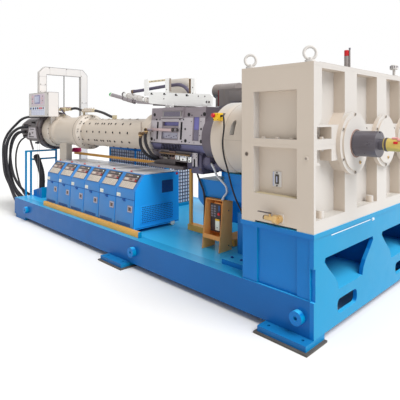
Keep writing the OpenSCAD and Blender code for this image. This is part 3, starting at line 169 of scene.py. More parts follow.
# Each look under the short name that the pieces use. Their top and side colours are painted light: lit and
# shaded copies of one paint for the faces that look up and along +X.
M = {
    "blue": material("blue_paint", (12, 118, 196), rough=0.32, vary=0.10, side=(0, 146, 196),
                     top=(66, 192, 246), shine=0.22),
    "beam": material("beam_paint", (8, 98, 170), rough=0.34, vary=0.10, side=(0, 146, 196),
                     top=(48, 166, 220), shine=0.22),
    "foot": material("foot_paint", (14, 104, 172), rough=0.4, vary=0.12, side=(6, 132, 190),
                     top=(24, 122, 184)),
    "unit": material("unit_paint", (61, 130, 197), rough=0.38, vary=0.06, grain=420, bump=0.05,
                     side=(40, 170, 255)),
    "unit_dark": material("unit_seam", (24, 78, 150), rough=0.6, vary=0.1),
    "slate": material("unit_vent", (44, 84, 138), rough=0.5, vary=0.1, edge=0),
    "beige": material("beige_paint", (208, 195, 181), rough=0.36, vary=0.04, scale=1.4, bump=0.05,
                     side=(205, 200, 195), top=(198, 194, 188)),
    "cream": material("cream_paint", (199, 186, 171), rough=0.32, vary=0.05, scale=1.6, bump=0.05,
                     side=(206, 198, 188), shine=0.4),
    "white": material("white_paint", (204, 200, 196), rough=0.42, vary=0.04, bump=0.04,
                     side=(228, 223, 219)),
    # Grey for joints, hinges and frames, and painted shade along the edges of the cabinet and the duct.
    "trim": material("duct_edge", (142, 138, 136), rough=0.5, vary=0.1, edge=0),
    "plate": material("machined_white", (252, 252, 250), rough=0.35, vary=0.04, streak=0.05,
                     stretch=(0.2, 4, 6)),
    "orange": material("orange_paint", (246, 182, 88), rough=0.45, vary=0.08, side=(236, 166, 76),
                     top=(240, 178, 84)),
    "stand": material("stand_paint", (230, 156, 84), rough=0.45, vary=0.08, side=(255, 188, 112),
                     top=(222, 156, 80)),
    "yellow": material("yellow_plastic", (246, 200, 50), rough=0.35, vary=0.05, grain=500),
    "red": material("red_plastic", (206, 40, 46), rough=0.3, vary=0.05, grain=500),
    "maroon": material("maroon_seal", (120, 44, 52), rough=0.5, vary=0.08),
    "pink": material("pink_paint", (226, 160, 158), rough=0.5, vary=0.1, scale=30),
    "steel": material("machined_steel", (160, 152, 156), rough=0.38, metal=0.45, vary=0.10, scale=4,
                     streak=0.16, stretch=(0.3, 3, 5)),
    "feed": material("feed_block_steel", (146, 136, 142), rough=0.42, metal=0.25, vary=0.08, scale=5,
                     streak=0.12, stretch=(0.3, 3, 5)),
    "frame": material("window_frame", (184, 177, 182), rough=0.36, metal=0.15, vary=0.06, streak=0.08,
                     stretch=(0.3, 3, 5)),
    "slope": material("feed_slope", (112, 110, 144), rough=0.42, metal=0.25, vary=0.10, scale=6,
                     streak=0.15, stretch=(0.3, 3, 3)),
    "neck": material("feed_neck", (104, 96, 104), rough=0.42, metal=0.3, vary=0.12, scale=5),
    "violet": material("window_glass", (106, 102, 168), rough=0.2, coat=0.4, vary=0.12, scale=16, bump=0.0,
                     edge=0),
    "haze": material("window_haze", (166, 164, 180), rough=0.3, coat=0.3, vary=0.14, scale=22, bump=0.0,
                     edge=0),
    "smoke": material("window_smoke", (112, 106, 124), rough=0.25, coat=0.3, vary=0.12, scale=18, bump=0.0,
                     edge=0),
    "bolt": material("bolt_steel", (120, 116, 112), rough=0.4, metal=0.8, vary=0.12, scale=20),
    "black_bolt": material("black_oxide", (46, 42, 42), rough=0.42, metal=0.4, vary=0.15, scale=20),
    "socket": material("socket_shade", (92, 82, 74), rough=0.6, vary=0.1, edge=0),
    "hub": material("hub_steel", (102, 98, 106), rough=0.3, metal=0.35, vary=0.08, scale=6, streak=0.12,
                     stretch=(0.2, 4, 4), shine=0.5),
    "dark": material("dark_steel", (86, 78, 80), rough=0.4, metal=0.3, vary=0.18, scale=5, shine=0.5),
    "drive": material("drive_paint", (88, 84, 106), rough=0.45, metal=0.2, vary=0.15, scale=7),
    "grey": material("grey_paint", (130, 126, 136), rough=0.42, vary=0.1),
    "motor": material("motor_paint", (150, 142, 140), rough=0.4, vary=0.04),
    "brass": material("brass", (216, 182, 126), rough=0.34, metal=0.5, vary=0.18, scale=18),
    "bronze": material("aged_fitting", (120, 96, 70), rough=0.4, metal=0.5, vary=0.25, scale=22),
    "zinc": material("zinc_yellow", (214, 190, 108), rough=0.34, metal=0.45, vary=0.12, scale=14),
    "rubber": material("black_rubber", (42, 40, 44), rough=0.45, vary=0.2, scale=9, grain=600, bump=0.1,
                     edge=0),
    "sleeve": material("blue_sleeve", (97, 91, 112), rough=0.35, vary=0.25, scale=12, grain=400, bump=0.15,
                     edge=0),
    "conduit": material("conduit_steel", (206, 208, 214), rough=0.35, metal=0.4, vary=0.1, scale=30,
                     streak=0.35, stretch=(1, 1, 12), edge=0),
    # Near black for dark joints, and painted shade: its discs, strips and sheets stand for the shaded inside of
    # sockets, holes, slots and openings.
    "gap": material("dark_gap", (24, 24, 28), rough=0.8, vary=0.2, edge=0),
    "pad": material("packing_pad", (92, 88, 84), rough=0.7, vary=0.2, scale=8),
    "glass": material("dark_glass", (56, 48, 44), rough=0.12, coat=0.6, vary=0.2, scale=14, bump=0.0,
                     edge=0),
    "screen": material("screen_glass", (176, 182, 208), rough=0.2, coat=0.4, vary=0.10, scale=16, bump=0.0,
                     edge=0),
    "panel": material("panel_foil", (206, 196, 184), rough=0.4, vary=0.10, scale=30, bump=0.02, edge=0),
    "foil_dark": material("panel_black", (62, 54, 58), rough=0.35, vary=0.2, scale=20, bump=0.02, edge=0),
    "foil_mid": material("panel_grey_foil", (164, 142, 136), rough=0.4, vary=0.2, scale=60, bump=0.02,
                     edge=0),
    "tag": material("white_tag", (226, 232, 222), rough=0.5, vary=0.06, scale=40, bump=0.02, edge=0),
    "seal": material("shaft_seal", (158, 122, 112), rough=0.5, vary=0.1),
    "sill": material("pale_sill", (212, 198, 164), rough=0.5, vary=0.1, edge=0),
    "seam": material("paint_seam", (158, 146, 136), rough=0.6, vary=0.1, edge=0),
    "pinkbar": material("window_bar", (196, 172, 172), rough=0.38, metal=0.2, vary=0.08, streak=0.1,
                     stretch=(0.2, 4, 4)),
    "brown": material("brown_glass", (112, 84, 78), rough=0.3, coat=0.3, vary=0.2, scale=30, edge=0),
    "lamp_green": material("green_lamp", (60, 170, 90), rough=0.3, vary=0.05, edge=0),
    # The lid's streaks and broad clouds are painted reflections.
    "unit_top": material("unit_lid", (206, 210, 220), rough=0.22, vary=0.16, scale=3.2, streak=0.14,
                     stretch=(1, 6, 1), shine=0.6),
    "panel_grey": material("panel_grey_paint", (214, 218, 232), rough=0.4, vary=0.05),
    "mesh": material("dark_mesh", (66, 68, 86), rough=0.5, vary=0.15, edge=0),
    "haze_blue": material("cooler_core", (232, 237, 248), rough=0.6, vary=0.18, scale=10, edge=0),
    "magenta": material("magenta_hose", (206, 36, 104), rough=0.45, vary=0.12, scale=14, edge=0),
    "fascia": material("cabinet_fascia", (204, 190, 200), rough=0.4, vary=0.08, scale=14, bump=0.02,
                     edge=0),
    "display": material("cabinet_display", (128, 126, 164), rough=0.25, coat=0.3, vary=0.10, scale=16,
                     bump=0.0, edge=0),
    # Whiter than the plate's own pale beige: painted light that lifts the shade the plate sits in.
    "backing": material("backing_plate", (255, 246, 234), rough=0.45, vary=0.06),
    # A near-white line: painted highlight along the pedestal top plate's edge.
    "edge_glint": material("painted_edge_glint", (220, 232, 240), rough=0.4, vary=0.08, scale=40, edge=0),
}

CAD_LOOK = {
    "beam": ["base_side_beams"],
    "blue": ["lifting_bosses", "base_deck", "base_cross_members", "pedestal_walls", "pedestal_end_plate",
             "pedestal_top_plate", "throat_pedestal", "head_frame", "cooling_unit"],
    "foot": ["base_feet"],
    "beige": ["gearbox_lower_case", "gearbox_upper_case", "gearbox_top_cover", "bearing_covers",
              "throat_housing"],
    "cream": ["pin_barrel", "front_barrel", "barrel_leg"],
    "white": ["operator_cabinet", "cable_duct", "gearbox_eye_bolts"],
    "plate": ["hopper_frame"],
    "orange": ["orange_rails"],
    "stand": ["control_stand"],
    "steel": ["feed_cylinders", "drive_motor", "gearbox_fittings"],
    "feed": ["feed_housing"],
    "hub": ["output_hub"],
    "drive": ["feed_roll_drive"],
    "dark": ["clamp_ring", "die_head", "feed_tray", "suction_duct", "drain_valve_lever"],
    "zinc": ["rotary_union"],
    "brass": ["drain_valve"],
    "sill": ["barrel_fittings"],
    "yellow": ["emergency_stop"],
    "unit": ["temperature_unit_%d" % i for i in range(1, 7)],
}
for key, names in CAD_LOOK.items():
    for name in names:
        o = frame["nodes"][name]
        o.data.materials.clear()
        o.data.materials.append(M[key])
        o.data.shade_smooth()
        o.data.set_sharp_from_angle(angle=math.radians(28))


# ---- cords: the routes of the CAD source, in millimetres ----
def smooth_route(p, steps):
    """A smooth curve through the points p, with so many steps for each span."""
    q = []
    for i in range(len(p) - 1):
        a, b, c, d = (Vector(p[k]) for k in (max(i - 1, 0), i, i + 1, min(i + 2, len(p) - 1)))
        for k in range(steps):
            t = k / steps
            q.append(0.5 * (2 * b + t * (c - a) + t * t * (2 * a - 5 * b + 4 * c - d)
                            + t * t * t * (3 * b - a - 3 * c + d)))
    q.append(Vector(p[-1]))
    return q


# The radius of each cord, how finely each span of its curve is drawn, and its points.
CORDS = {
    "stop_cable": (7, 3, [
        (1522, -768, 1478), (1545, -780, 1482), (1568, -796, 1472), (1583, -806, 1436), (1587, -810, 1371),
        (1574, -812, 1250), (1592, -808, 1131), (1622, -802, 1037), (1662, -795, 898), (1698, -780, 795),
        (1745, -765, 700), (1785, -755, 560), (1800, -750, 430), (1800, -750, 329)]),
    "stand_conduit": (10, 3, [
        (1335, -703, 1062), (1350, -703, 1050), (1372, -695, 1010), (1385, -680, 960), (1420, -660, 915),
        (1455, -640, 870), (1455, -625, 820), (1420, -615, 780), (1398, -613, 755), (1395, -613, 738)]),
    "drive_hose": (9, 3, [
        (1063, -606, 937), (1085, -606, 895), (1112, -607, 850), (1140, -607, 800), (1155, -607, 750),
        (1162, -608, 650), (1160, -610, 500), (1160, -610, 400), (1160, -610, 289)]),
    "feed_hose_1": (16, 2, [
        (450, -742, 1325), (441, -744, 1300), (434, -744, 1265), (435, -740, 1215), (446, -728, 1165),
        (466, -708, 1115), (484, -680, 1078), (492, -645, 1058), (490, -604, 1050)]),
    "feed_hose_2": (16, 2, [
        (350, -737, 1283), (343, -740, 1240), (346, -738, 1190), (362, -730, 1140), (390, -712, 1098),
        (418, -685, 1066), (430, -645, 1045), (428, -604, 1038)]),
    "bracket_hose": (18, 2, [
        (-45, -560, 1766), (0, -556, 1768), (60, -532, 1774), (140, -497, 1785), (240, -477, 1795),
        (369, -475, 1802), (493, -475, 1807), (612, -475, 1810), (680, -475, 1803), (745, -475, 1778),
        (795, -475, 1737), (822, -475, 1694)]),
    "barrel_hose_1": (18, 2, [
        (-1712, -460, 1600), (-1680, -460, 1603), (-1620, -460, 1606), (-1540, -460, 1601),
        (-1450, -460, 1583), (-1369, -460, 1568)]),
    "barrel_hose_2": (17, 2, [
        (-1056, -460, 1564), (-1020, -460, 1562), (-949, -460, 1552), (-833, -460, 1530),
        (-735, -460, 1504), (-660, -460, 1485), (-604, -460, 1478)]),
    "head_hose_1": (20, 3, [
        (-2345, -560, 1482), (-2600, -570, 1488), (-2910, -610, 1485), (-3050, -660, 1445),
        (-3140, -720, 1355), (-3200, -780, 1265), (-3240, -830, 1170), (-3225, -880, 1035), (-3150, -910, 820),
        (-3015, -930, 590), (-2800, -935, 430), (-2650, -932, 320), (-2560, -930, 270), (-2504, -930, 255)]),
    "head_hose_2": (20, 3, [
        (-3208, -570, 1320), (-3250, -580, 1317), (-3310, -625, 1290), (-3355, -690, 1230),
        (-3350, -750, 1150), (-3310, -805, 1040), (-3255, -845, 890), (-3215, -860, 740), (-3155, -865, 570),
        (-2940, -865, 350), (-2700, -880, 200), (-2570, -885, 160), (-2504, -885, 150)]),
    "head_hose_3": (20, 3, [
        (-3204, -530, 1245), (-3250, -540, 1242), (-3310, -570, 1228), (-3350, -625, 1180),
        (-3325, -690, 1090), (-3265, -745, 970), (-3225, -780, 810), (-3190, -790, 615), (-3030, -785, 380),
        (-2750, -790, 270), (-2570, -790, 235), (-2504, -790, 230)]),
    "head_hose_4": (14, 3, [
        (-3204, -470, 1160), (-3260, -480, 1156), (-3330, -510, 1130), (-3365, -560, 1070), (-3340, -610, 990),
        (-3250, -670, 880), (-3145, -715, 760), (-3060, -735, 620), (-2900, -735, 390), (-2720, -725, 250),
        (-2580, -720, 200), (-2504, -720, 190)]),
    "head_hose_5": (20, 4, [
        (-2700, -656, 1330), (-2704, -690, 1330), (-2722, -735, 1328), (-2765, -780, 1318),
        (-2840, -820, 1285), (-2940, -850, 1220), (-3030, -870, 1120), (-3078, -880, 1000), (-3085, -885, 850),
        (-3050, -885, 700), (-2970, -885, 550), (-2850, -880, 420), (-2700, -865, 310), (-2590, -852, 250),
        (-2504, -848, 232)]),
    "head_hose_6": (20, 3, [
        (-2880, -660, 1250), (-2884, -690, 1250), (-2902, -728, 1246), (-2945, -762, 1230),
        (-3010, -785, 1185), (-3080, -800, 1100), (-3120, -808, 980), (-3122, -810, 850), (-3085, -808, 700),
        (-3005, -800, 550), (-2895, -780, 430), (-2780, -745, 340), (-2670, -700, 280), (-2590, -672, 250),
        (-2504, -660, 240)]),
}
CORD_LOOKS = {"stand_conduit": ("conduit", "conduit_steel"), "bracket_hose": ("sleeve", "black_rubber")}
for name, (r, steps, points) in CORDS.items():
    look, slot = CORD_LOOKS.get(name, ("rubber", "black_rubber"))
    q = [p * MM for p in smooth_route(points, steps * 2)]
    data = bpy.data.curves.new(name + "_look", "CURVE")
    data.dimensions = "3D"
    data.bevel_depth = r * MM
    data.bevel_resolution = 4
    data.use_fill_caps = True
    s = data.splines.new("POLY")
    s.points.add(len(q) - 1)
    for k, p in enumerate(q):
        s.points[k].co = (*p, 1.0)
    data.materials.append(M[look])
    piece = bpy.data.objects.new(name + "_look", data)
    bpy.context.scene.collection.objects.link(piece)
    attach(piece, MACHINE)
    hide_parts(name)


# ---- mesh pieces ----
AXES = {"x": Vector((1, 0, 0)), "y": Vector((0, 1, 0)), "z": Vector((0, 0, 1))}


class Part:
    """Collects solids, given in millimetres, into one mesh piece with its looks and body. The slot it is given
    is not used.
    """

    def __init__(self, name, slot, *looks, body=MACHINE, sharp=32):
        self.name, self.slot, self.looks, self.body, self.sharp = name, slot, list(looks), body, sharp
        self.bm = bmesh.new()

    def take(self, t, look, bevel=0.0, angle=35.0):
        """Adds the temporary mesh t, with its edges bevelled where they turn by more than the angle."""
        if look not in self.looks:
            self.looks.append(look)
        bmesh.ops.recalc_face_normals(t, faces=t.faces)
        if bevel:
            least = math.radians(angle)
            edges = [e for e in t.edges if len(e.link_faces) == 2 and e.calc_face_angle(0) > least]
            bmesh.ops.bevel(t, geom=edges, offset=bevel, offset_type="OFFSET", segments=2, profile=0.6,
                            affect="EDGES", clamp_overlap=True)
        k = self.looks.index(look)
        for f in t.faces:
            f.material_index = k
            f.smooth = True
        me = bpy.data.meshes.new("t")
        t.to_mesh(me)
        t.free()
        self.bm.from_mesh(me)
        bpy.data.meshes.remove(me)

    def box(self, a, b, look, bevel=1.5, turn=None):
        """A block between two corners; turn is (degrees, axis), about its middle."""
        t = bmesh.new()
        bmesh.ops.create_cube(t, size=1.0)
        a, b = Vector(a), Vector(b)
        size, mid = (b - a), (a + b) / 2
        for v in t.verts:
            v.co = Vector((v.co.x * size.x, v.co.y * size.y, v.co.z * size.z)) + mid
        if turn:
            r = Matrix.Rotation(math.radians(turn[0]), 3, AXES[turn[1]])
            for v in t.verts:
                v.co = r @ (v.co - mid) + mid
        self.take(t, look, bevel)
        return self

    def rod(self, p, q, r, look, n=28, r2=None, bevel=1.0):
        """A bar with n sides from p to q, of radius r, or r at p and r2 at q."""
        p, q = Vector(p), Vector(q)
        t = bmesh.new()
        d = q - p
        end = r if r2 is None else r2
        bmesh.ops.create_cone(t, cap_ends=True, segments=n, radius1=r, radius2=end, depth=d.length)
        m = Matrix.Translation((p + q) / 2) @ d.to_track_quat("Z", "Y").to_matrix().to_4x4()
        bmesh.ops.transform(t, matrix=m, verts=t.verts)
        self.take(t, look, bevel, 50.0)
        return self

    def bolt(self, p, d, r, look, h=None):
        """A hexagon head on a washer, standing out along d."""
        p, d = Vector(p), Vector(d).normalized()
        h = h or r * 0.7
        self.rod(p, p + d * r * 0.2, r * 1.25, look, n=20, bevel=0)
        self.rod(p, p + d * (h + r * 0.2), r, look, n=6, bevel=r * 0.1)
        return self

    def screw(self, p, d, r, look):
        """A socket-head screw; its socket is a dark disc on the head, painted shade for the hollow."""
        p, d = Vector(p), Vector(d).normalized()
        h = r * 0.6
        self.rod(p, p + d * h, r, look, n=18, bevel=r * 0.12)
        self.rod(p + d * (h - 0.2), p + d * (h + 0.4), r * 0.55, "gap", n=6, bevel=0)
        return self

    def prism(self, points, axis, lo, hi, look, bevel=1.5):
        """An outline across axis, which is x or y, extruded along it from lo to hi."""
        t = bmesh.new()
        put = {"x": lambda u, w, s: (s, u, w), "y": lambda u, w, s: (u, s, w)}[axis]
        rows = [[t.verts.new(put(u, w, s)) for u, w in points] for s in (lo, hi)]
        t.faces.new(rows[0])
        t.faces.new(rows[1][::-1])
        for k in range(len(points)):
            j = (k + 1) % len(points)
            t.faces.new((rows[0][k], rows[1][k], rows[1][j], rows[0][j]))
        self.take(t, look, bevel)
        return self

    def ring(self, c, d, big, small, look, n=40, m=12):
        """A torus about c with its axis along d."""
        t = bmesh.new()
        rows = []
        for i in range(n):
            a = 2 * math.pi * i / n
            row = []
            for k in range(m):
                b = 2 * math.pi * k / m
                out = big + small * math.cos(b)
                row.append(t.verts.new((out * math.cos(a), out * math.sin(a), small * math.sin(b))))
            rows.append(row)
        for i in range(n):
            here, after = rows[i], rows[(i + 1) % n]
            for k in range(m):
                j = (k + 1) % m
                t.faces.new((here[k], after[k], after[j], here[j]))
        mat = Matrix.Translation(Vector(c)) @ Vector(d).to_track_quat("Z", "Y").to_matrix().to_4x4()
        bmesh.ops.transform(t, matrix=mat, verts=t.verts)
        self.take(t, look)
        return self

    def done(self, *stands_for):
        """Makes the piece, lets it ride its body and replace the CAD nodes that it stands for."""
        for v in self.bm.verts:
            v.co *= MM
        me = bpy.data.meshes.new(self.name)
        self.bm.to_mesh(me)
        self.bm.free()
        for look in self.looks:
            me.materials.append(M[look])
        me.set_sharp_from_angle(angle=math.radians(self.sharp))
        o = bpy.data.objects.new(self.name, me)
        bpy.context.scene.collection.objects.link(o)
        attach(o, self.body)
        if stands_for:
            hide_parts(*stands_for)
        return o


def corners(node):
    """A node's lowest and highest corners in millimetres."""
    a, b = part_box(node)
    return Vector(a) / MM, Vector(b) / MM


spin = next(j for j in frame["joints"] if j["name"] == "shaft_spin")["pos_m"]
AY, AZ = spin[1] / MM, spin[2] / MM
g0, g1 = corners("gearbox_lower_case")
top1 = corners("gearbox_top_cover")[1]
cov0, cov1 = corners("bearing_covers")
GX0, GX1, GY0 = g0.x, g1.x, g0.y
SHAFTS = [AY, AY + 540, AY + 1020]
COVER_R = [222, 208, 208]
NX, NY, PX, PY, PZ = (-1, 0, 0), (0, -1, 0), (1, 0, 0), (0, 1, 0), (0, 0, 1)


def around(n, r, first=0.0, mid=(AY, AZ)):
    """n places spread evenly on a circle about mid, which is the shaft's axis seen along X unless given."""
    for k in range(n):
        a = math.radians(first + 360 / n * k)
        yield mid[0] + r * math.cos(a), mid[1] + r * math.sin(a)


def paint(node, look, test):
    """Gives the faces of a CAD node whose middle and normal pass the test another material."""
    me = frame["nodes"][node].data
    me.materials.append(M[look])
    k = len(me.materials) - 1
    for f in me.polygons:
        if test(f.center / MM, f.normal):
            f.material_index = k


# ---- gearbox ----
p = Part("cover_screws", "beige_paint", "beige", "socket")
for y, r in zip(SHAFTS, COVER_R):
    x = cov0.x + 30
    for u, v in around(6, r - 15, 30, (y, AZ)):
        p.rod((x, u, v), (x + 5, u, v), 13, "beige", n=20, bevel=1.5)
        p.rod((x + 4, u, v), (x + 6, u, v), 9.5, "socket", n=16, bevel=0)
p.done()
p = Part("cover_plugs", "brass", "brass", "seal")
for y, dy, dz in ((SHAFTS[0], 53, -139), (SHAFTS[1], 20, -134), (SHAFTS[2], 20, -134)):
    p.rod((cov1.x - 1, y + dy, AZ + dz), (cov1.x + 7, y + dy, AZ + dz), 12, "brass", n=6)
    p.rod((cov1.x + 6, y + dy, AZ + dz), (cov1.x + 9, y + dy, AZ + dz), 6, "socket", n=12, bevel=0)
p.ring((cov1.x + 1, AY, AZ), PX, 97, 3.5, "seal", n=64)
p.done()

FLANGE_X = GX1 - 38
p = Part("case_bolts", "beige_paint", "beige")
for y in (GY0 + 78, GY0 + 158, AY + 355, AY + 1262, AY + 1342):
    p.bolt((FLANGE_X, y, AZ + 41), PZ, 15, "beige")
    p.bolt((FLANGE_X, y, AZ - 28), (0, 0, -1), 15, "beige")
for y in (GY0 + 122, AY + 390):
    p.bolt((FLANGE_X, y, g0.z + 118), PZ, 17, "beige")
for x in (GX0 + 170, GX0 + 288, GX0 + 406):
    for side in (1, -1):
        p.bolt((x, side * (GY0 + 34), AZ + 36), PZ, 17, "beige", h=9)
p.done()

p = Part("case_plugs", "beige_paint", "beige", "socket", "sill", "seam")
PLUG_Z = 1200
x = GX0 + 47
p.rod((x, GY0 + 2, PLUG_Z), (x, GY0 - 3, PLUG_Z), 16, "seam", bevel=1)
p.rod((x + 2, GY0, PLUG_Z), (x + 2, GY0 - 5, PLUG_Z), 11, "socket", bevel=1)
x = GX1 - 52
p.rod((x, GY0 + 2, PLUG_Z - 1), (x, GY0 - 7, PLUG_Z - 1), 17, "beige", n=6, bevel=2)
p.rod((x, GY0 - 5, PLUG_Z - 1), (x, GY0 - 8, PLUG_Z - 1), 8, "seam", n=16, bevel=0)
p.prism([(2214, 752), (2278, 752), (2278, 812), (2214, 812)], "y", GY0 - 9, GY0 + 2, "beige", bevel=3)
p.box((GX0 + 112, GY0 + 8, 928), (GX1 - 126, GY0 + 62, 931), "sill")
p.rod((2153, -1010, 779), (2140, -1010, 779), 15, "socket", bevel=2)
p.done()

p = Part("gearbox_instruments", "machined_steel", "white")
# the level gauge on the side
gx, gz = GX0 + 271, AZ - 246
p.box((gx - 35, GY0 + 57, gz - 54), (gx + 35, GY0 + 66, gz + 54), "white", bevel=4)
p.box((gx - 15, GY0 + 53, gz - 34), (gx + 17, GY0 + 58, gz + 34), "glass", bevel=12)
# A pale strip down the dark glass: a painted reflection.
p.box((gx - 3, GY0 + 51.5, gz - 22), (gx + 5, GY0 + 54, gz + 20), "screen", bevel=1)
p.box((gx - 34, GY0 + 55, gz - 50), (gx - 26, GY0 + 58, gz + 50), "screen", bevel=1)
for k in (-1, 1):
    p.screw((gx, GY0 + 57, gz + k * 45), NY, 6, "bolt")
# the signal with its red cap and thin mast, on the lid
lid = top1.z
bx, by = GX0 + 340, SHAFTS[1] - 97
for z0, z1, r, look, bevel in ((-1, 12, 27, "white", 2), (10, 138, 20, "motor", 2), (138, 187, 20, "red", 4),
                               (38, 41, 20.6, "seam", 0.5), (70, 73, 20.6, "seam", 0.5),
                               (104, 107, 20.6, "seam", 0.5)):
    p.rod((bx, by, lid + z0), (bx, by, lid + z1), r, look, bevel=bevel)
p.rod((bx + 27, by, lid - 1), (bx + 27, by, lid + 205), 6, "motor")
p.rod((bx + 27, by, lid + 190), (bx + 27, by, lid + 205), 8, "grey", bevel=2)
# the breather
rx, ry = GX0 + 490, SHAFTS[2] + 42
for z0, z1, r, r2, bevel in ((-1, 9, 36, 36, 2), (8, 68, 12, 12, 1), (64, 105, 36, 28, 4)):
    p.rod((rx, ry, lid + z0), (rx, ry, lid + z1), r, "white", r2=r2, bevel=bevel)
for x, y in around(12, 33, 0, (rx, ry)):
    p.box((x - 2, y - 2, lid + 72), (x + 2, y + 2, lid + 96), "grey", bevel=0)
p.done("gearbox_fittings")

p = Part("union_details", "zinc_yellow", "zinc", "pink", "bolt")
p.rod((2746, AY, AZ), (2762, AY, AZ), 47, "dark", n=40, bevel=4)
for k, (x, a, w) in enumerate(((2812, 70, 40), (2824, 20, 26), (2846, 48, 30), (2868, 84, 20))):
    t = math.radians(a)
    c = Vector((x, AY - 44.4 * math.cos(t), AZ + 44.4 * math.sin(t)))
    half = Vector((w / 2, 8, 8))
    p.box(c - half, c + half, ("pink", "red")[k % 2], bevel=2, turn=(-a, "x"))
for y, z in around(6, 36, 20):
    p.screw((2920, y, z), PX, 5, "bolt")
p.rod((2890, AY, AZ - 62), (2890, AY, AZ - 70), 23, "zinc", n=6)
p.done()

# ---- pedestal and base ----
PAD_TOP = 12.5
paint("base_feet", "pad", lambda c, n: c.z < PAD_TOP)
p = Part("base_trim", "blue_paint", "edge_glint", "blue")
# A thin raised strip along the top plate's edge and a bolt beside it, both near-white: a painted highlight on
# real parts.
p.box((GX1 - 1, -745, 673), (GX1 + 2.5, -137, 679), "edge_glint", bevel=1)
p.bolt((GX1, -96, 676), PX, 12, "edge_glint")
e0, e1 = corners("pedestal_end_plate")
p.rod((e1.x - 30, e0.y + 1.5, 285), (e1.x - 30, e0.y + 1.5, 560), 3, "blue", n=10)
p.rod((GX0, e0.y + 4, 287), (GX1 - 34, e0.y + 4, 287), 4, "blue", n=10)
p.done()
p = Part("deck_block", "blue_paint", "gap")
for x in (1640, 1740, 1840):
    p.bolt((x, -769, 325), PZ, 11, "unit_dark")
p.rod((1790, -769, 324), (1790, -769, 329), 16, "gap", n=20)
p.box((683, -300, 286), (1190, -292, 292), "gap", bevel=2)
p.done()

# ---- throat ----
TX = corners("throat_housing")[0].x
p = Part("throat_details", "beige_paint", "socket", "seam")
p.box((TX + 221, -650, AZ + 44), (TX + 265, -640, AZ + 162), "socket", bevel=0)
p.box((TX + 155, -770.4, AZ - 0.8), (GX0 - 5, -768, AZ + 0.8), "seam", bevel=0)
p.ring((TX + 155, AY, AZ), PX, 310.5, 1.2, "seam", n=96, m=8)
for a in (100, 130, 160, 200, 230):
    t = math.radians(a)
    p.screw((TX + 2, AY + 290 * math.cos(t), AZ + 290 * math.sin(t)), NX, 8, "beige")
p.done()
e0, e1 = corners("emergency_stop")
p = Part("stop_switch", "yellow_plastic", "yellow", "red")
bx0, by1 = e0.x + 24, e0.y + 57
p.box((bx0, e0.y, e0.z), (e1.x, by1, e1.z), "yellow", bevel=7)
p.box((bx0 + 4, e0.y - 3, e0.z + 4), (e1.x - 4, e0.y + 2, e1.z - 4), "yellow", bevel=2)
for x in (bx0 + 10, e1.x - 10):
    for z in (e0.z + 10, e1.z - 10):
        p.screw((x, e0.y - 2, z), NY, 3.5, "black_bolt")
bz = e1.z - 21
p.rod((bx0 + 16, e0.y - 1, bz), (bx0 + 16, e0.y - 8, bz), 11, "gap")
p.rod((bx0 + 14, e0.y - 7, bz), (bx0 + 12, e0.y - 24, bz), 20, "red", r2=17, bevel=4)
p.box((bx0 + 10, by1 - 2, e0.z + 2), (bx0 + 50, e1.y, e1.z - 2), "bolt")
x, y, z = CORDS["stop_cable"][2][0]
p.rod((e1.x - 2, y, z), (e1.x + 7, y, z), 10, "gap", n=16)
p.done("emergency_stop")

# ---- feed block ----
FX = corners("feed_housing")[0].x


CREASE_Y, CREASE_Z = -660, 1220


def front_y(z):
    """The feed block's front above its crease, which leans back upwards."""
    return CREASE_Y + 26 * (z - CREASE_Z) / 345


def slope_y(z):
    """The feed block's front below its crease, which leans back downwards."""
    return CREASE_Y + 50 * (CREASE_Z - z) / 175


def stud(x, z, out, r, look, n, bevel=1.0, into=3):
    """A round piece on the leaning front, from a little inside to so far out of it."""
    p.rod((x, front_y(z) + into, z), (x, front_y(z) - out, z), r, look, n=n, bevel=bevel)


def slab(x0, x1, z0, z1, h0, h1, look, bevel=1.0):
    """A plate on the leaning front, from h0 to h1 out of it."""
    p.prism([(front_y(z0) - h0, z0), (front_y(z1) - h0, z1), (front_y(z1) - h1, z1), (front_y(z0) - h1, z0)],
            "x", x0, x1, look, bevel)


paint("feed_housing", "slope", lambda c, n: n.y < -0.5 and c.z < 1216 and c.x < 1212)
paint("feed_housing", "neck", lambda c, n: c.x > 1206 and c.y > -700)
p = Part("feed_front_frame", "machined_steel", "frame", "gap")
FRAME_BARS = ((414, 509, 1214, 1440), (538, 592, 1214, 1454), (592, 848, 1427, 1454), (592, 848, 1212, 1246),
              (848, 874, 1214, 1454), (904, 1046, 1214, 1466), (1046, 1138, 1214, 1248),
              (1138, 1204, 1214, 1466), (509, 538, 1424, 1440), (509, 538, 1214, 1246),
              (874, 904, 1426, 1454), (874, 904, 1214, 1252))
for x0, x1, z0, z1 in FRAME_BARS:
    slab(x0, x1, z0, z1, -1, 5, "frame", 1.2)
slab(511, 536, 1250, 1420, -2, 1.5, "gap", 0)
slab(876, 902, 1256, 1422, -2, 1.5, "gap", 0)
slab(412, 1206, 1210, 1213.5, -1, 6, "gap", 0)
p.done()
p = Part("feed_block_screws", "dark_steel", "black_bolt", "gap")
for x, z in ((438, 1246), (958, 1245), (1172, 1247), (457, 1497), (984, 1493), (1190, 1498)):
    out = 6.5 if z < 1300 else 1.5
    stud(x, z, out, 17, "gap", 24, 0, into=8)
    stud(x, z, out + 1, 8, "black_bolt", 6, into=8)
for x, z in ((947, 1357), (1163, 1361)):
    stud(x, z, 7, 11, "black_bolt", 20)
for x, z in ((483, 1236), (908, 1236), (498, 1447), (557, 1447), (864, 1449), (916, 1449)):
    stud(x, z, 7, 8, "gap", 16)
for x, z in ((1028, 1489), (1157, 1488), (1026, 1429), (1156, 1429), (1022, 1298), (1150, 1301), (1014, 1233),
             (1078, 1231)):
    stud(x, z, 7, 4.5, "gap", 12, 0)
p.done()
p = Part("feed_windows", "machined_steel", "violet", "haze", "smoke")
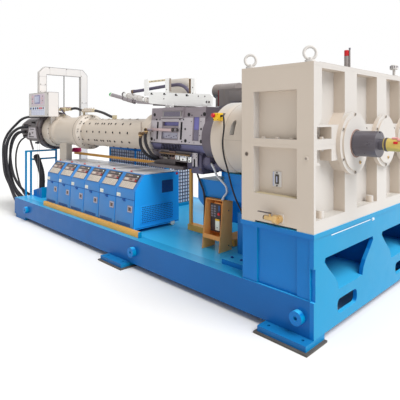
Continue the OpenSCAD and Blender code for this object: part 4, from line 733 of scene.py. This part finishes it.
slab(FX + 191, FX + 439, AZ + 106, AZ + 142, -30, -24, "violet", 0)
slab(FX + 174, FX + 424, AZ - 23, AZ + 38, -17, -12, "haze", 0)
slab(FX + 646, FX + 716, AZ + 72, AZ + 190, -10, -5, "violet", 0)
slab(FX + 646, FX + 716, AZ - 27, AZ + 70, -10, -5, "smoke", 0)
for k in range(6):
    x, y, z = 616 + k * 38, front_y(1288), 1270 + 9 * (k % 3)
    p.rod((x, y + 12, z), (x, y + 6, z), 5, "smoke", n=12)
p.done()
p = Part("feed_slide", "machined_steel", "pinkbar", "dark")
slab(412, 764, 1331, 1358, 3, 22, "pinkbar", 4)
slab(764, 884, 1336, 1356, 3, 16, "steel", 4)
for x, r in ((780, 19), (848, 17)):
    y = front_y(1347)
    p.rod((x, y - 14, 1347), (x, y - 26, 1347), r, "black_bolt", n=24, bevel=4)
    p.rod((x, y - 25, 1347), (x, y - 30, 1347), r * 0.5, "dark", n=6, bevel=1)
p.done()
p = Part("feed_hatch", "machined_steel", "feed", "smoke")
slab(584, 910, 1466, 1475, 0, 16, "frame", 2)
slab(612, 890, 1476, 1530, 14, 17, "trim", 1)
slab(630, 874, 1479, 1526, 16, 19, "smoke", 0)
for k in range(13):
    slab(636 + k * 18, 639 + k * 18, 1481, 1524, 18, 20, "neck", 0)
slab(596, 912, 1532, 1566, 5, 15, "feed", 3)
p.done()
p = Part("feed_louvres", "machined_steel", "gap")
for k in range(13):
    x = 590 + k * 23
    p.rod((x + 10, slope_y(1200) - 1, 1200), (x - 14, slope_y(1152) - 1, 1152), 4.2, "gap", n=10)
p.rod((576, slope_y(1206) - 1, 1206), (880, slope_y(1206) - 1, 1206), 3, "neck", n=10)
p.done()
p = Part("feed_underside", "dark_steel", "dark", "neck", "brown", "bolt")
for x0, x1, z0, z1, h, look in (
        (430, 560, 1052, 1140, 6, "neck"), (560, 700, 1060, 1146, 9, "dark"),
        (700, 792, 1052, 1136, 14, "brown"), (792, 1024, 1100, 1140, 8, "dark"),
        (600, 660, 1050, 1070, 24, "bolt"), (470, 520, 1120, 1142, 18, "dark")):
    y0, y1 = slope_y(z0), slope_y(z1)
    p.prism([(y0 + 4, z0), (y1 + 4, z1), (y1 - h, z1), (y0 - h, z0)], "x", x0, x1, look, 3)
for x in (585, 625, 668, 720, 760):
    p.rod((x, -640, 1086), (x, -662, 1086), 10, "black_bolt", n=6, bevel=2)
p.rod((560, -655, 1112), (1010, -655, 1106), 8, "bronze", n=14)
p.done()
p = Part("feed_connectors", "white_paint", "frame", "gap")
for x0, x1, z0, z1 in ((798, 846, 1058, 1099), (866, 955, 1050, 1098), (979, 1020, 1042, 1094)):
    p.box((x0, -650, z0), (x1, -612, z1), "plate", bevel=4)
    p.box((x0 + 8, -653, z1 - 14), (x1 - 12, -649, z1 - 6), "screen", bevel=1)
    p.rod(((x0 + x1) / 2, -649, z0 + 14), ((x0 + x1) / 2, -655, z0 + 14), 7, "gap", n=14)
p.box((846, -640, 1062), (979, -606, 1090), "gap", bevel=2)
p.box((790, -646, 1036), (1026, -606, 1050), "dark", bevel=3)
p.box((1034, -644, 1008), (1102, -637, 1136), "frame", bevel=3)
p.box((1054, -646, 1000), (1073, -643, 1078), "gap", bevel=1)
for x, z in ((1044, 1124), (1092, 1124), (1044, 1096), (1092, 1096)):
    p.screw((x, -643, z), NY, 5, "bolt")
p.done()
p = Part("feed_hose_ends", "brass", "bronze", "brass")
for name, z, stub in (("feed_hose_1", AZ + 62, front_y(AZ + 62)), ("feed_hose_2", AZ + 20, -700)):
    start = CORDS[name][2][0]
    x = start[0]
    p.rod((x, stub + 3, z), (x, stub - 20, z), 20, "bronze", n=6, bevel=2)
    p.rod((x, -742, z), (x, -758, z), 20, "bronze", n=6, bevel=2)
    p.rod((x, -742, z - 8), (start[0] - 3, start[1], start[2] - 22), 19, "bronze", n=20, r2=17, bevel=2)
    p.rod((x - 2, -742, z - 12), (x - 2, -742, z - 20), 21, "brass", n=24, bevel=1)
p.done()
DRIVE_Y, DRIVE_Z = -540, 1055
p = Part("feed_drive_details", "grey_paint", "bolt")
for x in (1018, 1130):
    for z in (1000, 1098):
        p.bolt((x, -620, z), NY, 9, "drive")
p.rod((1358, DRIVE_Y, DRIVE_Z), (1364, DRIVE_Y, DRIVE_Z), 56, "drive", n=40)
p.box((1282, -724, 1052), (1342, -648, 1112), "drive", bevel=5)
p.box((1290, -650, 1062), (1334, -612, 1102), "drive", bevel=3)
p.rod((1338, -703, 1060), (1330, -703, 1068), 15, "bolt", n=20, bevel=2)
for y, z in around(6, 66, 0, (DRIVE_Y, DRIVE_Z)):
    p.screw((1360, y, z), PX, 6, "bolt")
p.box((1110, -632, 960), (1146, -616, 1120), "drive", bevel=5)
p.rod((1128, -634, 985), (1128, -612, 985), 14, "dark", n=20, bevel=3)
p.done()

# ---- above the feed block ----
paint("hopper_frame", "bronze", lambda c, n: FX + 455 < c.x < FX + 506 and c.z > 1640 and c.y > -541)
# The back plate gets a colour whiter than its own, as painted light against its shade.
paint("hopper_frame", "backing", lambda c, n: c.y > -445)
PLATE_Y = -569
p = Part("hopper_details", "white_paint", "plate", "gap", "dark")
for x, z in ((317, 1724), (533, 1712), (718, 1694), (880, 1684)):
    p.box((x - 16, PLATE_Y - 4, z - 8), (x + 8, PLATE_Y, z + 12), "gap", bevel=2)
    p.box((x + 6, PLATE_Y - 4, z - 8), (x + 24, PLATE_Y, z), "dark", bevel=2)
for x, z, r in ((1040, 1670, 7), (1127, 1664, 7), (524, 1664, 7), (1150, 1612, 11), (1182, 1610, 11)):
    p.rod((x, PLATE_Y, z), (x, PLATE_Y - 3, z), r, "dark", n=20, bevel=1)
p.prism([(327, 1597), (506, 1590), (506, 1604), (327, 1614)], "y", -562, -532, "dark", bevel=2)
p.prism([(650, 1568), (1009, 1566), (1009, 1570), (650, 1590)], "y", -566, -532, "dark", bevel=2)
for x in (660, 1120):
    p.box((x - 22, PLATE_Y - 4, 1568), (x + 22, PLATE_Y + 1, 1604), "plate", bevel=2)
for x in (548, 941):
    for z in (1702, 1760):
        p.screw((x, -550, z), NY, 6, "bolt")
p.box((590, -551, 1740), (593, -529, 1874), "seam", bevel=0)
p.box((222, -538, 1852), (524, -530, 1872), "sill", bevel=2)
p.box((140, -545, 1836), (170, -520, 1862), "plate", bevel=4)
for k in range(4):
    p.box((268 + k * 62, -540, 1858), (292 + k * 62, -528, 1866), "seam", bevel=1)
p.done()
paint("feed_cylinders", "white", lambda c, n: c.x > -226 and c.y < -500)
p = Part("cylinder_details", "machined_steel", "plate", "dark")
a, b = Vector((-222, -560, 1741)), Vector((222, -560, 1662))
axis = (b - a).normalized()
for s, w, r, look in ((-5, 26, 31, "dark"), (26, 52, 31, "plate"), (100, 8, 30.8, "seam"),
                      (300, 6, 30.8, "seam"), (408, 22, 31, "plate"), (428, 18, 28, "dark")):
    p.rod(a + axis * s, a + axis * (s + w), r, look, n=32, bevel=2)
for s in (30, 200, 390):
    c = a + axis * s
    for d in (-1, 1):
        p.rod(c + Vector((0, -22, 22 * d)), c + Vector((0, -22, 22 * d)) + axis * 40, 3.5, "bolt", n=10)
a, b, c = (Vector((x, AY, AZ + up)) for x, up in ((-146, 378), (-370, 424), (-668, 484)))
axis = (a - b).normalized()
for s, w in ((-2, 20), (100, 8), (206, 22)):
    p.rod(b + axis * s, b + axis * (s + w), 29, "dark", n=32, bevel=2)
axis = (b - c).normalized()
p.rod(c - axis * 4, c + axis * 26, 24, "lamp_green", n=28, bevel=3)
p.rod(c + axis * 24, c + axis * 44, 25, "white", n=28, bevel=3)
p.rod((-60, -560, 1752), (-60, -560, 1783), 16, "dark", n=6, bevel=2)
p.rod((-46, -560, 1766), (-22, -558, 1767), 21, "bronze", n=24, bevel=2)
p.rod((822, -475, 1686), (822, -475, 1712), 22, "black_bolt", n=6, bevel=2)
p.done()

# ---- temperature units: the lines of their upright and slanting front, as y and z ----
FRONT = ((-870, 320), (-845, 720))
SLANT = ((-845, 720), (-725, 875))


def on_face(line, x0, x1, s0, s1, h0, h1, look, bevel=0.8):
    """A slab on a cabinet's front: s0 to s1 along its line, and h0 to h1 out of it."""
    a, b = (Vector(end) for end in line)
    d = (b - a).normalized()
    n = Vector((-d.y, d.x))
    outline = [a + d * s + n * h for s, h in ((s0, h0), (s1, h0), (s1, h1), (s0, h1))]
    p.prism(outline, "x", x0, x1, look, bevel)


for i in range(1, 7):
    lo, hi = corners("temperature_unit_%d" % i)
    x0, x1 = lo.x, hi.x
    p = Part("unit_front_%d" % i, "unit_paint", "unit", "unit_dark")
    # door, upper panel and the seam between them
    on_face(FRONT, x0 + 7, x1 - 7, 6, 300, -1, 4, "unit", 2)
    on_face(FRONT, x0 + 7, x1 - 7, 306, 398, -1, 3, "unit", 2)
    on_face(FRONT, x0 + 4, x1 - 4, 300.5, 305.5, -1, 2, "unit_dark", 0)
    # vent at the door's foot
    for k in range(4):
        on_face(FRONT, x0 + 40, x1 - 52, 28 + 8 * k, 33 + 8 * k, 3, 5, "slate", 0)
    for k in range(16):
        on_face(FRONT, x0 + 44 + k * 15.5, x0 + 51 + k * 15.5, 30, 56, 4.5, 5.6, "unit_dark", 0)
    # handle, then gauge and tag
    x = x0 + 0.46 * (x1 - x0)
    on_face(FRONT, x - 26, x + 26, 286, 300, 3, 14, "unit_dark", 3)
    on_face(FRONT, x - 10, x + 30, 276, 288, 3, 9, "unit_dark", 3)
    x = x0 + 0.80 * (x1 - x0)
    for half, s0, s1, h0, h1, look, bevel in (
            (43, 174, 244, 3, 8, "grey", 2), (36, 180, 238, 7, 9, "screen", 1),
            (27, 188, 230, 8, 11, "brown", 2), (13, 198, 222, 10, 13, "glass", 4)):
        on_face(FRONT, x - half, x + half, s0, s1, h0, h1, look, bevel)
    on_face(FRONT, x0 + 14, x0 + 84, 314, 352, 2, 4, "tag", 0.5)
    on_face(FRONT, x0 + 52, x0 + 76, 322, 338, 3.5, 4.6, "panel", 0)
    on_face(FRONT, x1 - 3, x1 + 0.6, 0, 396, -2, 1.2, "unit_dark", 0)
    # controller on the slanting top: foils, display, keys and their grid
    on_face(SLANT, x0 + 10, x1 - 10, 4, 190, -1, 3, "unit", 2)
    on_face(SLANT, x0 + 34, x1 - 40, 10, 184, 2, 6, "foil_dark", 2)
    on_face(SLANT, x0 + 38, x1 - 44, 14, 88, 5, 7, "panel", 1)
    on_face(SLANT, x0 + 44, x1 - 96, 98, 136, 5, 7.5, "foil_mid", 1)
    on_face(SLANT, x0 + 58, x0 + 128, 106, 130, 7, 8.6, "panel", 0.5)
    on_face(SLANT, x0 + 148, x0 + 196, 106, 130, 7, 8.6, "brown", 0.5)
    on_face(SLANT, x0 + 50, x1 - 60, 146, 176, 5, 7, "glass", 1)
    on_face(SLANT, x0 + 88, x0 + 168, 156, 168, 6.5, 8, "foil_mid", 0.5)
    for k, look in enumerate(("red", "foil_mid", "tag")):
        on_face(SLANT, x1 - 86, x1 - 66, 100 + 26 * k, 114 + 26 * k, 5, 11, look, 3)
    for k in range(7):
        on_face(SLANT, x0 + 52 + k * 34, x0 + 53.6 + k * 34, 20, 84, 6.6, 7.6, "seam", 0)
    for k in range(4):
        on_face(SLANT, x0 + 42, x1 - 48, 28 + 15 * k, 29.4 + 15 * k, 6.6, 7.6, "seam", 0)
    p.done()
    p = Part("unit_top_%d" % i, "white_paint", "unit_top", "red")
    p.box((x0 + 3, -722, 868), (x1 - 3, -262, 879), "unit_top", bevel=3)
    p.rod((x0 + 70, -700, 876), (x0 + 70, -700, 884), 5, "gap")
    p.rod((x0 + 70, -700, 883), (x0 + 70, -700, 893), 13, "red", bevel=3)
    p.done()
lo, hi = corners("temperature_unit_1")
p = Part("unit_side_grilles", "unit_paint", "unit", "unit_dark")
p.box((hi.x - 1, -784, 366), (hi.x + 3, -331, 561), "unit", bevel=1)
for k in range(20):
    for j in range(9):
        y, z = -764 + k * 21 + (j % 2) * 6, 378 + j * 19.5
        p.box((hi.x + 2, y, z), (hi.x + 3.6, y + 13, z + 11), "unit_dark", bevel=0)
p.box((hi.x - 1, -512, 650), (hi.x + 3, -331, 803), "unit", bevel=1)
p.box((hi.x + 2, -500, 660), (hi.x + 3.4, -343, 793), "unit_dark", bevel=0)
for k in range(9):
    p.box((hi.x + 3, -500, 664 + k * 14.5), (hi.x + 6, -343, 671 + k * 14.5), "slate", bevel=1)
p.box((hi.x - 2, -846, 330), (hi.x + 1.5, -262, 334), "unit_dark", bevel=0)
p.box((hi.x - 40, -372, 300), (hi.x + 6, -318, 332), "tag", bevel=6)
p.rod((hi.x - 30, -345, 302), (hi.x + 8, -345, 302), 16, "tag", n=28, bevel=3)
p.rod((hi.x + 7, -345, 302), (hi.x + 9, -345, 302), 5, "gap", n=16)
p.box((hi.x + 1, -300, 838), (hi.x + 3, -268, 862), "red", bevel=1)
p.done()

# ---- barrel ----
PIN_X, PIN_STEP = -1101, 151.6
p = Part("barrel_pins", "machined_steel", "cream")
for row in range(10):
    a = math.radians(4.5 + 36 * row)
    d = Vector((0, -math.cos(a), math.sin(a)))
    marks = [PIN_X + k * PIN_STEP for k in range(8)]
    if row % 2:
        marks += [PIN_X + k * PIN_STEP + 52 for k in (2, 3, 4)]
    for x in marks:
        c = Vector((x, AY, AZ)) + d * 174
        p.rod(c, c + d * 4, 18, "cream", n=20, bevel=1)
        p.rod(c + d * 3, c + d * 6.5, 13.5, "gap", n=14, bevel=1)
p.done()
p = Part("barrel_bolts", "beige_paint", "cream", "socket")
for k in range(24):
    a = math.radians(15 * k + (3.5 if k % 2 else -3.5))
    p.screw((-1141, AY + 208 * math.cos(a), AZ + 208 * math.sin(a)), PX, 13, "cream")
for y, z in around(20, 229, 9):
    p.screw((-1985, y, z), PX, 10, "cream")
for y, z in around(12, 205):
    p.bolt((-1895, y, z), PX, 6, "cream")
p.box((300, -702, 1300), (305, -690, 1420), "seam", bevel=0)
p.ring((-1228, AY, AZ), PX, 233.2, 2.2, "socket", n=72, m=8)
p.done()
p = Part("clamp_details", "dark_steel", "dark", "bolt")
p.prism([(-2470, 1322), (-2250, 1324), (-2190, 1166), (-2530, 1164)], "y", -768, -764, "frame", bevel=2)
p.box((-2440, -770, 1296), (-2290, -767, 1306), "gap", bevel=0)
p.box((-2470, -770, 1180), (-2290, -767, 1192), "gap", bevel=0)
p.rod((-2440, -766, 1226), (-2440, -771, 1226), 24, "gap", n=28)
p.bolt((-2440, -769, 1226), NY, 13, "bolt")
p.bolt((-2330, -768, 1250), NY, 12, "bolt")
for y, z in around(16, 262, 11):
    p.screw((-2160, y, z), PX, 11, "black_bolt")
p.ring((-2250, AY, AZ), PX, 285, 5, "brown", n=72)
for x, z in ((-2420, 1090), (-2420, 1150), (-2420, 1210), (-2420, 1370), (-2560, 1400), (-2640, 1300),
             (-2600, 1230), (-2700, 1330), (-2760, 1240), (-2860, 1360), (-2900, 1180)):
    p.rod((x, -636, z), (x, -668, z), 20, "dark", n=6, bevel=2)
    p.rod((x, -662, z), (x, -694, z), 13, "black_bolt", n=16, bevel=2)
p.done()
paint("barrel_fittings", "glass", lambda c, n: c.z > 1650)
paint("barrel_fittings", "bronze", lambda c, n: c.y < -640)
HOSE_Y = -460
p = Part("valve_details", "brass", "sill", "dark")
p.box((-2055, -474, 1614), (-1735, -446, 1628), "pinkbar", bevel=4)
p.rod((-1900, HOSE_Y, 1598), (-1900, HOSE_Y, 1632), 12, "sill")
p.box((-1965, -492, 1572), (-1860, -428, 1622), "sill", bevel=8)
p.box((-2122, -506, 1562), (-2088, -470, 1638), "dark", bevel=6)
p.rod((-1960, -500, 1592), (-1795, -516, 1524), 9, "drive", n=14)
for x in (-2080, -2010, -1820):
    p.rod((x, HOSE_Y, 1597), (x + 30, HOSE_Y, 1597), 24, "sill", n=6, bevel=2)
p.rod((-1752, HOSE_Y, 1597), (-1708, HOSE_Y, 1600), 24, "sill", n=6, bevel=2)
p.box((-1345, -486, 1548), (-1110, -434, 1592), "cream", bevel=6)
for x in (-1330, -1285, -1240, -1195, -1150, -1085):
    p.rod((x, -478, 1566), (x, -500, 1566), 11, "cream", n=6, bevel=1)
    p.rod((x, HOSE_Y, 1584), (x, HOSE_Y, 1606), 10, "panel", n=6, bevel=1)
p.rod((-1376, HOSE_Y, 1569), (-1352, HOSE_Y, 1568), 22, "cream", n=6)
p.rod((-1072, HOSE_Y, 1564), (-1044, HOSE_Y, 1564), 21, "cream", n=6)
p.rod((-616, HOSE_Y, 1479), (-594, HOSE_Y, 1478), 20, "black_bolt", n=6)
p.done()
p = Part("head_fittings", "dark_steel", "black_bolt")
HEAD_HOSES = [CORDS["head_hose_%d" % i] for i in range(1, 7)]
x, y, z = HEAD_HOSES[0][2][0]
p.rod((x + 7, y + 1, z), (x - 31, y - 1, z + 1), 26, "black_bolt", n=6, bevel=2)
for r, steps, points in HEAD_HOSES[1:4]:
    x, y, z = points[0]
    p.rod((-3198, y, z), (-3230, y - 6, z - 2), r + 6, "black_bolt", n=6, bevel=2)
for r, steps, points in HEAD_HOSES[4:]:
    x, y, z = points[0]
    p.rod((x, -650, z), (x - 2, -682, z), 25, "black_bolt", n=6, bevel=2)
for r, steps, points in HEAD_HOSES:
    x, y, z = points[-1]
    p.rod((x + 6, y, z), (x - 22, y, z), 24, "black_bolt", n=6, bevel=2)
p.done()

# ---- operator cabinet and duct ----
c0, c1 = corners("operator_cabinet")
PANEL_X0, PANEL_X1 = -2434, -1972
p = Part("cabinet_panel", "white_paint", "white", "screen", "gap", "red")
y, zb = c0.y, AZ + 210
p.box((c0.x + 8, y - 4, zb + 10), (-1962, y + 1, c1.z - 10), "white", bevel=3)
p.box((PANEL_X0, y - 8, 1652), (PANEL_X1, y - 3, c1.z - 18), "fascia", bevel=3)
p.box((-2312, y - 11, 1678), (-2122, y - 7, 1808), "display", bevel=2)
p.box((-2296, y - 12.5, 1700), (-2138, y - 10, 1790), "screen", bevel=1)
p.box((PANEL_X0, y - 7, zb + 20), (PANEL_X1 + 4, y - 3, 1634), "panel_grey", bevel=3)
for k in range(8):
    p.box((-2424 + k * 58, y - 8.5, zb + 26), (-2420 + k * 58, y - 6, 1590), "screen", bevel=0)
for z in (1528, 1552, 1576):
    p.box((PANEL_X0 + 4, y - 8.5, z), (PANEL_X1, y - 6, z + 3), "screen", bevel=0)
for x, look in ((-2446, "slate"), (-2352, "gap"), (-2272, "slate"), (-2193, "gap"), (-2124, "red"),
                (-2072, "red"), (-2008, "brown")):
    p.rod((x, y - 3, 1612), (x, y - 14, 1612), 15, look, n=20, bevel=3)
for k in range(4):
    z, odd = 1690 + 32 * k, k % 2
    for x, looks in ((-2398 + 14 * odd, ("brown", "pink")), (-2050 + 24 * odd, ("pink", "brown"))):
        p.rod((x, y - 7, z), (x, y - 13, z), 9, looks[odd], n=16, bevel=2)
for z in (zb + 26, c1.z - 26):
    p.box((c1.x - 22, y - 5, z - 10), (c1.x - 4, y + 1, z + 10), "trim", bevel=2)
# Grey rods along the cabinet's outer edges: painted shade on the edges.
for x, yy in ((c0.x, y), (c1.x, y), (c1.x, c1.y)):
    p.rod((x, yy, zb), (x, yy, c1.z), 2.2, "trim", n=8)
for end in ((c0.x, y, c1.z), (c1.x, c1.y, c1.z)):
    p.rod(end, (c1.x, y, c1.z), 2.2, "trim", n=8)
p.done()
d0, d1 = corners("cable_duct")
DW = 112
p = Part("duct_trim", "white_paint", "trim", "bolt")
for z in (1870, 1960, 2090):
    p.box((d1.x - 0.6, d0.y - 0.6, z), (d1.x + 0.8, d0.y + DW, z + 2.2), "trim", bevel=0)
for yy in (-560, -300, -60):
    p.box((d1.x - 0.6, yy, d1.z - DW), (d1.x + 0.8, yy + 2.2, d1.z - 1), "trim", bevel=0)
for z in (700, 1200, 1700):
    p.box((d1.x - 0.6, d1.y - DW, z), (d1.x + 0.8, d1.y, z + 2.2), "trim", bevel=0)
for yy, z in ((-702, 1860), (-632, 1860), (-702, 1975), (-632, 1975), (-570, 2226), (-290, 2226), (-40, 2140),
              (-26, 1715), (44, 1715)):
    p.screw((d1.x, yy, z), PX, 6, "bolt")
cut = 82
foot = 320
outer = [(d0.y, foot), (d0.y, d1.z - cut), (d0.y + cut, d1.z), (d1.y - cut, d1.z), (d1.y, d1.z - cut),
         (d1.y, foot)]
inner = [(d0.y + DW, 1560), (d0.y + DW, d1.z - DW), (d1.y - DW, d1.z - DW), (d1.y - DW, foot)]
# Grey rods along the duct's outer and inner outline on both faces: painted shade on the edges.
for x, r in ((d1.x, 2.6), (d0.x, 2.0)):
    for line in (outer, inner):
        for a, b in zip(line, line[1:]):
            p.rod((x, *a), (x, *b), r, "trim", n=8)
p.done()

# ---- cooling unit, motor, stand, rails ----
q0, q1 = corners("cooling_unit")
paint("cooling_unit", "haze_blue", lambda c, n: n.y < -0.5 or n.x > 0.5)
p = Part("cooling_grille", "blue_paint", "blue", "mesh")
for k in range(28):
    x = q0.x + 40 + k * 46
    p.box((x, q0.y - 6, q0.z + 40), (x + 9, q0.y + 1, q1.z - 40), "mesh", bevel=0)
for k in range(16):
    z = q0.z + 40 + k * 45
    p.box((q0.x + 30, q0.y - 7, z), (q1.x - 30, q0.y + 1, z + 9), "mesh", bevel=0)
    p.box((q1.x - 1, q0.y + 30, z), (q1.x + 6, q1.y - 30, z + 9), "mesh", bevel=0)
for k in range(9):
    yy = q0.y + 44 + k * 46
    p.box((q1.x - 1, yy, q0.z + 40), (q1.x + 5, yy + 9, q1.z - 40), "mesh", bevel=0)
for x in (q0.x, (q0.x + q1.x) / 2 - 20, q1.x - 36):
    p.box((x, q0.y - 10, q0.z), (x + 36, q0.y + 1, q1.z), "blue", bevel=3)
for z in (q0.z, q1.z - 44):
    p.box((q0.x, q0.y - 10, z), (q1.x, q0.y + 1, z + 44), "blue", bevel=3)
    p.box((q1.x - 1, q0.y, z), (q1.x + 10, q1.y, z + 44), "blue", bevel=3)
for yy in (q0.y, q1.y - 36):
    p.box((q1.x - 1, yy, q0.z), (q1.x + 10, yy + 36, q1.z), "blue", bevel=3)
p.done()
p = Part("cooling_back", "blue_paint", "blue", "bolt", "gap")
for x in (q0.x + 70, q0.x + 735):
    p.box((x - 20, q1.y - 1, q0.z + 60), (x + 585, q1.y + 4, q1.z - 60), "blue", bevel=3)
    # A dark sheet behind the slats: painted shade in the openings between them.
    p.box((x, q1.y + 3, q0.z + 92), (x + 565, q1.y + 5, q1.z - 92), "gap", bevel=0)
    for k in range(14):
        z = q0.z + 92 + k * 41.5
        p.box((x, q1.y + 3, z), (x + 565, q1.y + 12, z + 27), "blue", bevel=5)
    for sx in (-8, 573):
        for z in (q0.z + 74, (q0.z + q1.z) / 2, q1.z - 74):
            p.screw((x + sx, q1.y + 4, z), PY, 7, "bolt")
p.box((q0.x - 5, q0.y + 40, q0.z + 60), (q0.x + 1, q1.y - 40, q1.z - 60), "blue", bevel=3)
for yy in (q0.y + 62, q1.y - 62):
    for z in (q0.z + 84, (q0.z + q1.z) / 2, q1.z - 84):
        p.screw((q0.x - 5, yy, z), NX, 8, "bolt")
p.box((q0.x + 24, q0.y + 24, q1.z - 1), (q1.x - 24, q1.y - 24, q1.z + 5), "blue", bevel=3)
p.done()
m0, m1 = corners("drive_motor")
p = Part("motor_back", "grey_paint", "grey", "blue", "motor", "bolt")
for k in range(9):
    x = 598 + k * 105
    p.box((x, m1.y - 1, 1000), (x + 22, m1.y + 9, 1560), "grey", bevel=4)
for x in (640, 1045):
    p.box((x, m1.y - 1, 390), (x + 375, m1.y + 5, 880), "blue", bevel=2)
    for sx in (24, 188, 351):
        for z in (416, 854):
            p.bolt((x + sx, m1.y + 5, z), PY, 10, "bolt")
for k in range(6):
    p.box((640, 759, 1636 + k * 24), (1410, 767, 1650 + k * 24), "motor", bevel=3)
p.box((554, 300, 1060), (561, 820, 1500), "grey", bevel=3)
for k in range(12):
    p.box((549, 330, 1084 + k * 34), (556, 790, 1104 + k * 34), "grey", bevel=3)
for yy in (314, 806):
    for z in (1076, 1280, 1484):
        p.bolt((554, yy, z), NX, 8, "bolt")
p.box((594, 300, 390), (601, 820, 880), "blue", bevel=2)
for yy in (324, 796):
    for z in (416, 854):
        p.bolt((594, yy, z), NX, 10, "bolt")
p.done()
SUPPORT_TOP, RIBS_TOP = 962, 1601
paint("drive_motor", "blue", lambda c, n: c.z < SUPPORT_TOP)
paint("drive_motor", "motor", lambda c, n: c.z > RIBS_TOP)
paint("drive_motor", "grey", lambda c, n: SUPPORT_TOP <= c.z <= RIBS_TOP)
p = Part("motor_details", "grey_paint", "grey", "maroon", "bolt", "seam")
my0 = m0.y
p.box((546, my0 - 4, 1604), (560, my0 + 3, 1790), "maroon", bevel=2)
for k in range(8):
    x = 620 + k * 105
    p.box((x, my0 - 8, 1000), (x + 22, my0 + 1, 1560), "grey", bevel=4)
for x in (640, 860, 1080, 1300, 1470):
    p.box((x, my0 - 3, 1606), (x + 3, my0 + 1, 1796), "seam", bevel=0)
p.box((720, my0 - 4, 1650), (980, my0 + 1, 1770), "motor", bevel=2)
for x in (640, 1420):
    p.bolt((x, my0 + 30, SUPPORT_TOP), PZ, 16, "bolt")
for k in range(7):
    p.rod((434 + k * 16, 330, 1785), (437 + k * 16, 330, 1785), 86.5, "seam", n=48)
p.done()
s0, s1 = corners("control_stand")
p = Part("stand_module", "orange_paint", "grey", "tag", "red")
sy = -601
p.box((s0.x + 34, sy - 8, 560), (s0.x + 158, sy + 3, 690), "foil_dark", bevel=3)
p.box((s0.x + 34, sy - 6, 440), (s0.x + 158, sy + 3, 560), "foil_dark", bevel=2)
for x in (s0.x + 46, s0.x + 80):
    for z in range(572, 682, 22):
        p.box((x, sy - 12, z), (x + 24, sy - 7, z + 15), "grey", bevel=2)
p.rod((s0.x + 144, sy - 6, 604), (s0.x + 144, sy - 20, 604), 13, "red", n=24, bevel=4)
p.box((s0.x + 134, sy - 10, 630), (s0.x + 154, sy - 6, 676), "slate", bevel=2)
p.box((s0.x + 98, sy - 12, 455), (s0.x + 150, sy - 5, 545), "tag", bevel=4)
p.box((s0.x + 98, sy - 13, 540), (s0.x + 150, sy - 5, 556), "yellow", bevel=3)
p.screw((s0.x + 124, sy - 12, 480), NY, 5, "bolt")
x, y, z = CORDS["stand_conduit"][2][-1]
p.rod((x, y, z - 6), (x, y, z + 14), 16, "conduit", n=6, bevel=2)
for z in (330, 640):
    p.screw((s1.x, -560, z), PX, 6, "bolt")
p.done()
p = Part("rail_details", "orange_paint", "magenta", "blue")
for k, (z, r) in enumerate(((978, 62), (998, 60), (1016, 54), (978, 40), (998, 38))):
    p.ring((-1818 + 3 * k, -325, z), PZ, r, 10.5, "magenta", n=48, m=10)
p.box((541, -912, 283), (551, -874, 342), "blue", bevel=2)
p.done()
hose_line = [Vector((x, -650, z)) for x, z in ((-2478, 876), (-2420, 814), (-2352, 735), (-2301, 660),
                                               (-2276, 600), (-2268, 530), (-2276, 460), (-2284, 406))]
p = Part("suction_hose", "black_rubber", "rubber", "dark", sharp=60)
for a, b in zip(hose_line, hose_line[1:]):
    d = (b - a).normalized()
    p.rod(a - d * 8, b + d * 8, 37, "rubber", n=40, bevel=0)
    n = int((b - a).length // 17)
    for k in range(n):
        p.ring(a + (b - a) * ((k + 0.5) / n), d, 38, 6, "rubber", n=40, m=8)
p.rod(hose_line[0] + (hose_line[0] - hose_line[1]).normalized() * 14, hose_line[0], 43, "dark", n=40, bevel=3)
p.box((-2497, -700, 820), (-2420, -600, 850), "dark", bevel=4)
p.done("suction_duct")

# ---- light and floor: the hall is dimmer as light than as it is seen ----
world = bpy.data.worlds.new("world")
bpy.context.scene.world = world
world.use_nodes = True
wt = world.node_tree
bg = wt.nodes["Background"]
rays = node(wt, "LightPath").outputs
seen = rays["Is Camera Ray"]
for other in ("Is Glossy Ray", "Is Transmission Ray"):
    most = node(wt, "Math", {0: seen, 1: rays[other]})
    most.operation = "MAXIMUM"
    seen = most.outputs[0]
level = node(wt, "MapRange", {"Value": seen}, To_Min=0.50, To_Max=1.0)
wt.links.new(level.outputs["Result"], bg.inputs["Strength"])
bg.inputs["Color"].default_value = (1.0, 1.0, 1.0, 1.0)

sun_data = bpy.data.lights.new("sun", "SUN")
sun_data.energy = 3.0
sun_data.angle = math.radians(40)
sun = bpy.data.objects.new("sun", sun_data)
bpy.context.scene.collection.objects.link(sun)
sun.rotation_euler = Vector((0.58, -0.04, 0.81)).to_track_quat("Z", "Y").to_euler()

floor_mesh = bpy.data.meshes.new("floor")
floor_mesh.from_pydata([(-40, -40, 0), (40, -40, 0), (40, 40, 0), (-40, 40, 0)], [], [(0, 1, 2, 3)])
floor_paint = material("floor_paint", (244, 243, 241), rough=0.7, vary=0.01, scale=0.4, bump=0.0, edge=0)
floor_mesh.materials.append(floor_paint)
floor = bpy.data.objects.new("floor", floor_mesh)
bpy.context.scene.collection.objects.link(floor)
floor.location.z = -0.001

scene = bpy.context.scene
scene.view_settings.view_transform = "Standard"
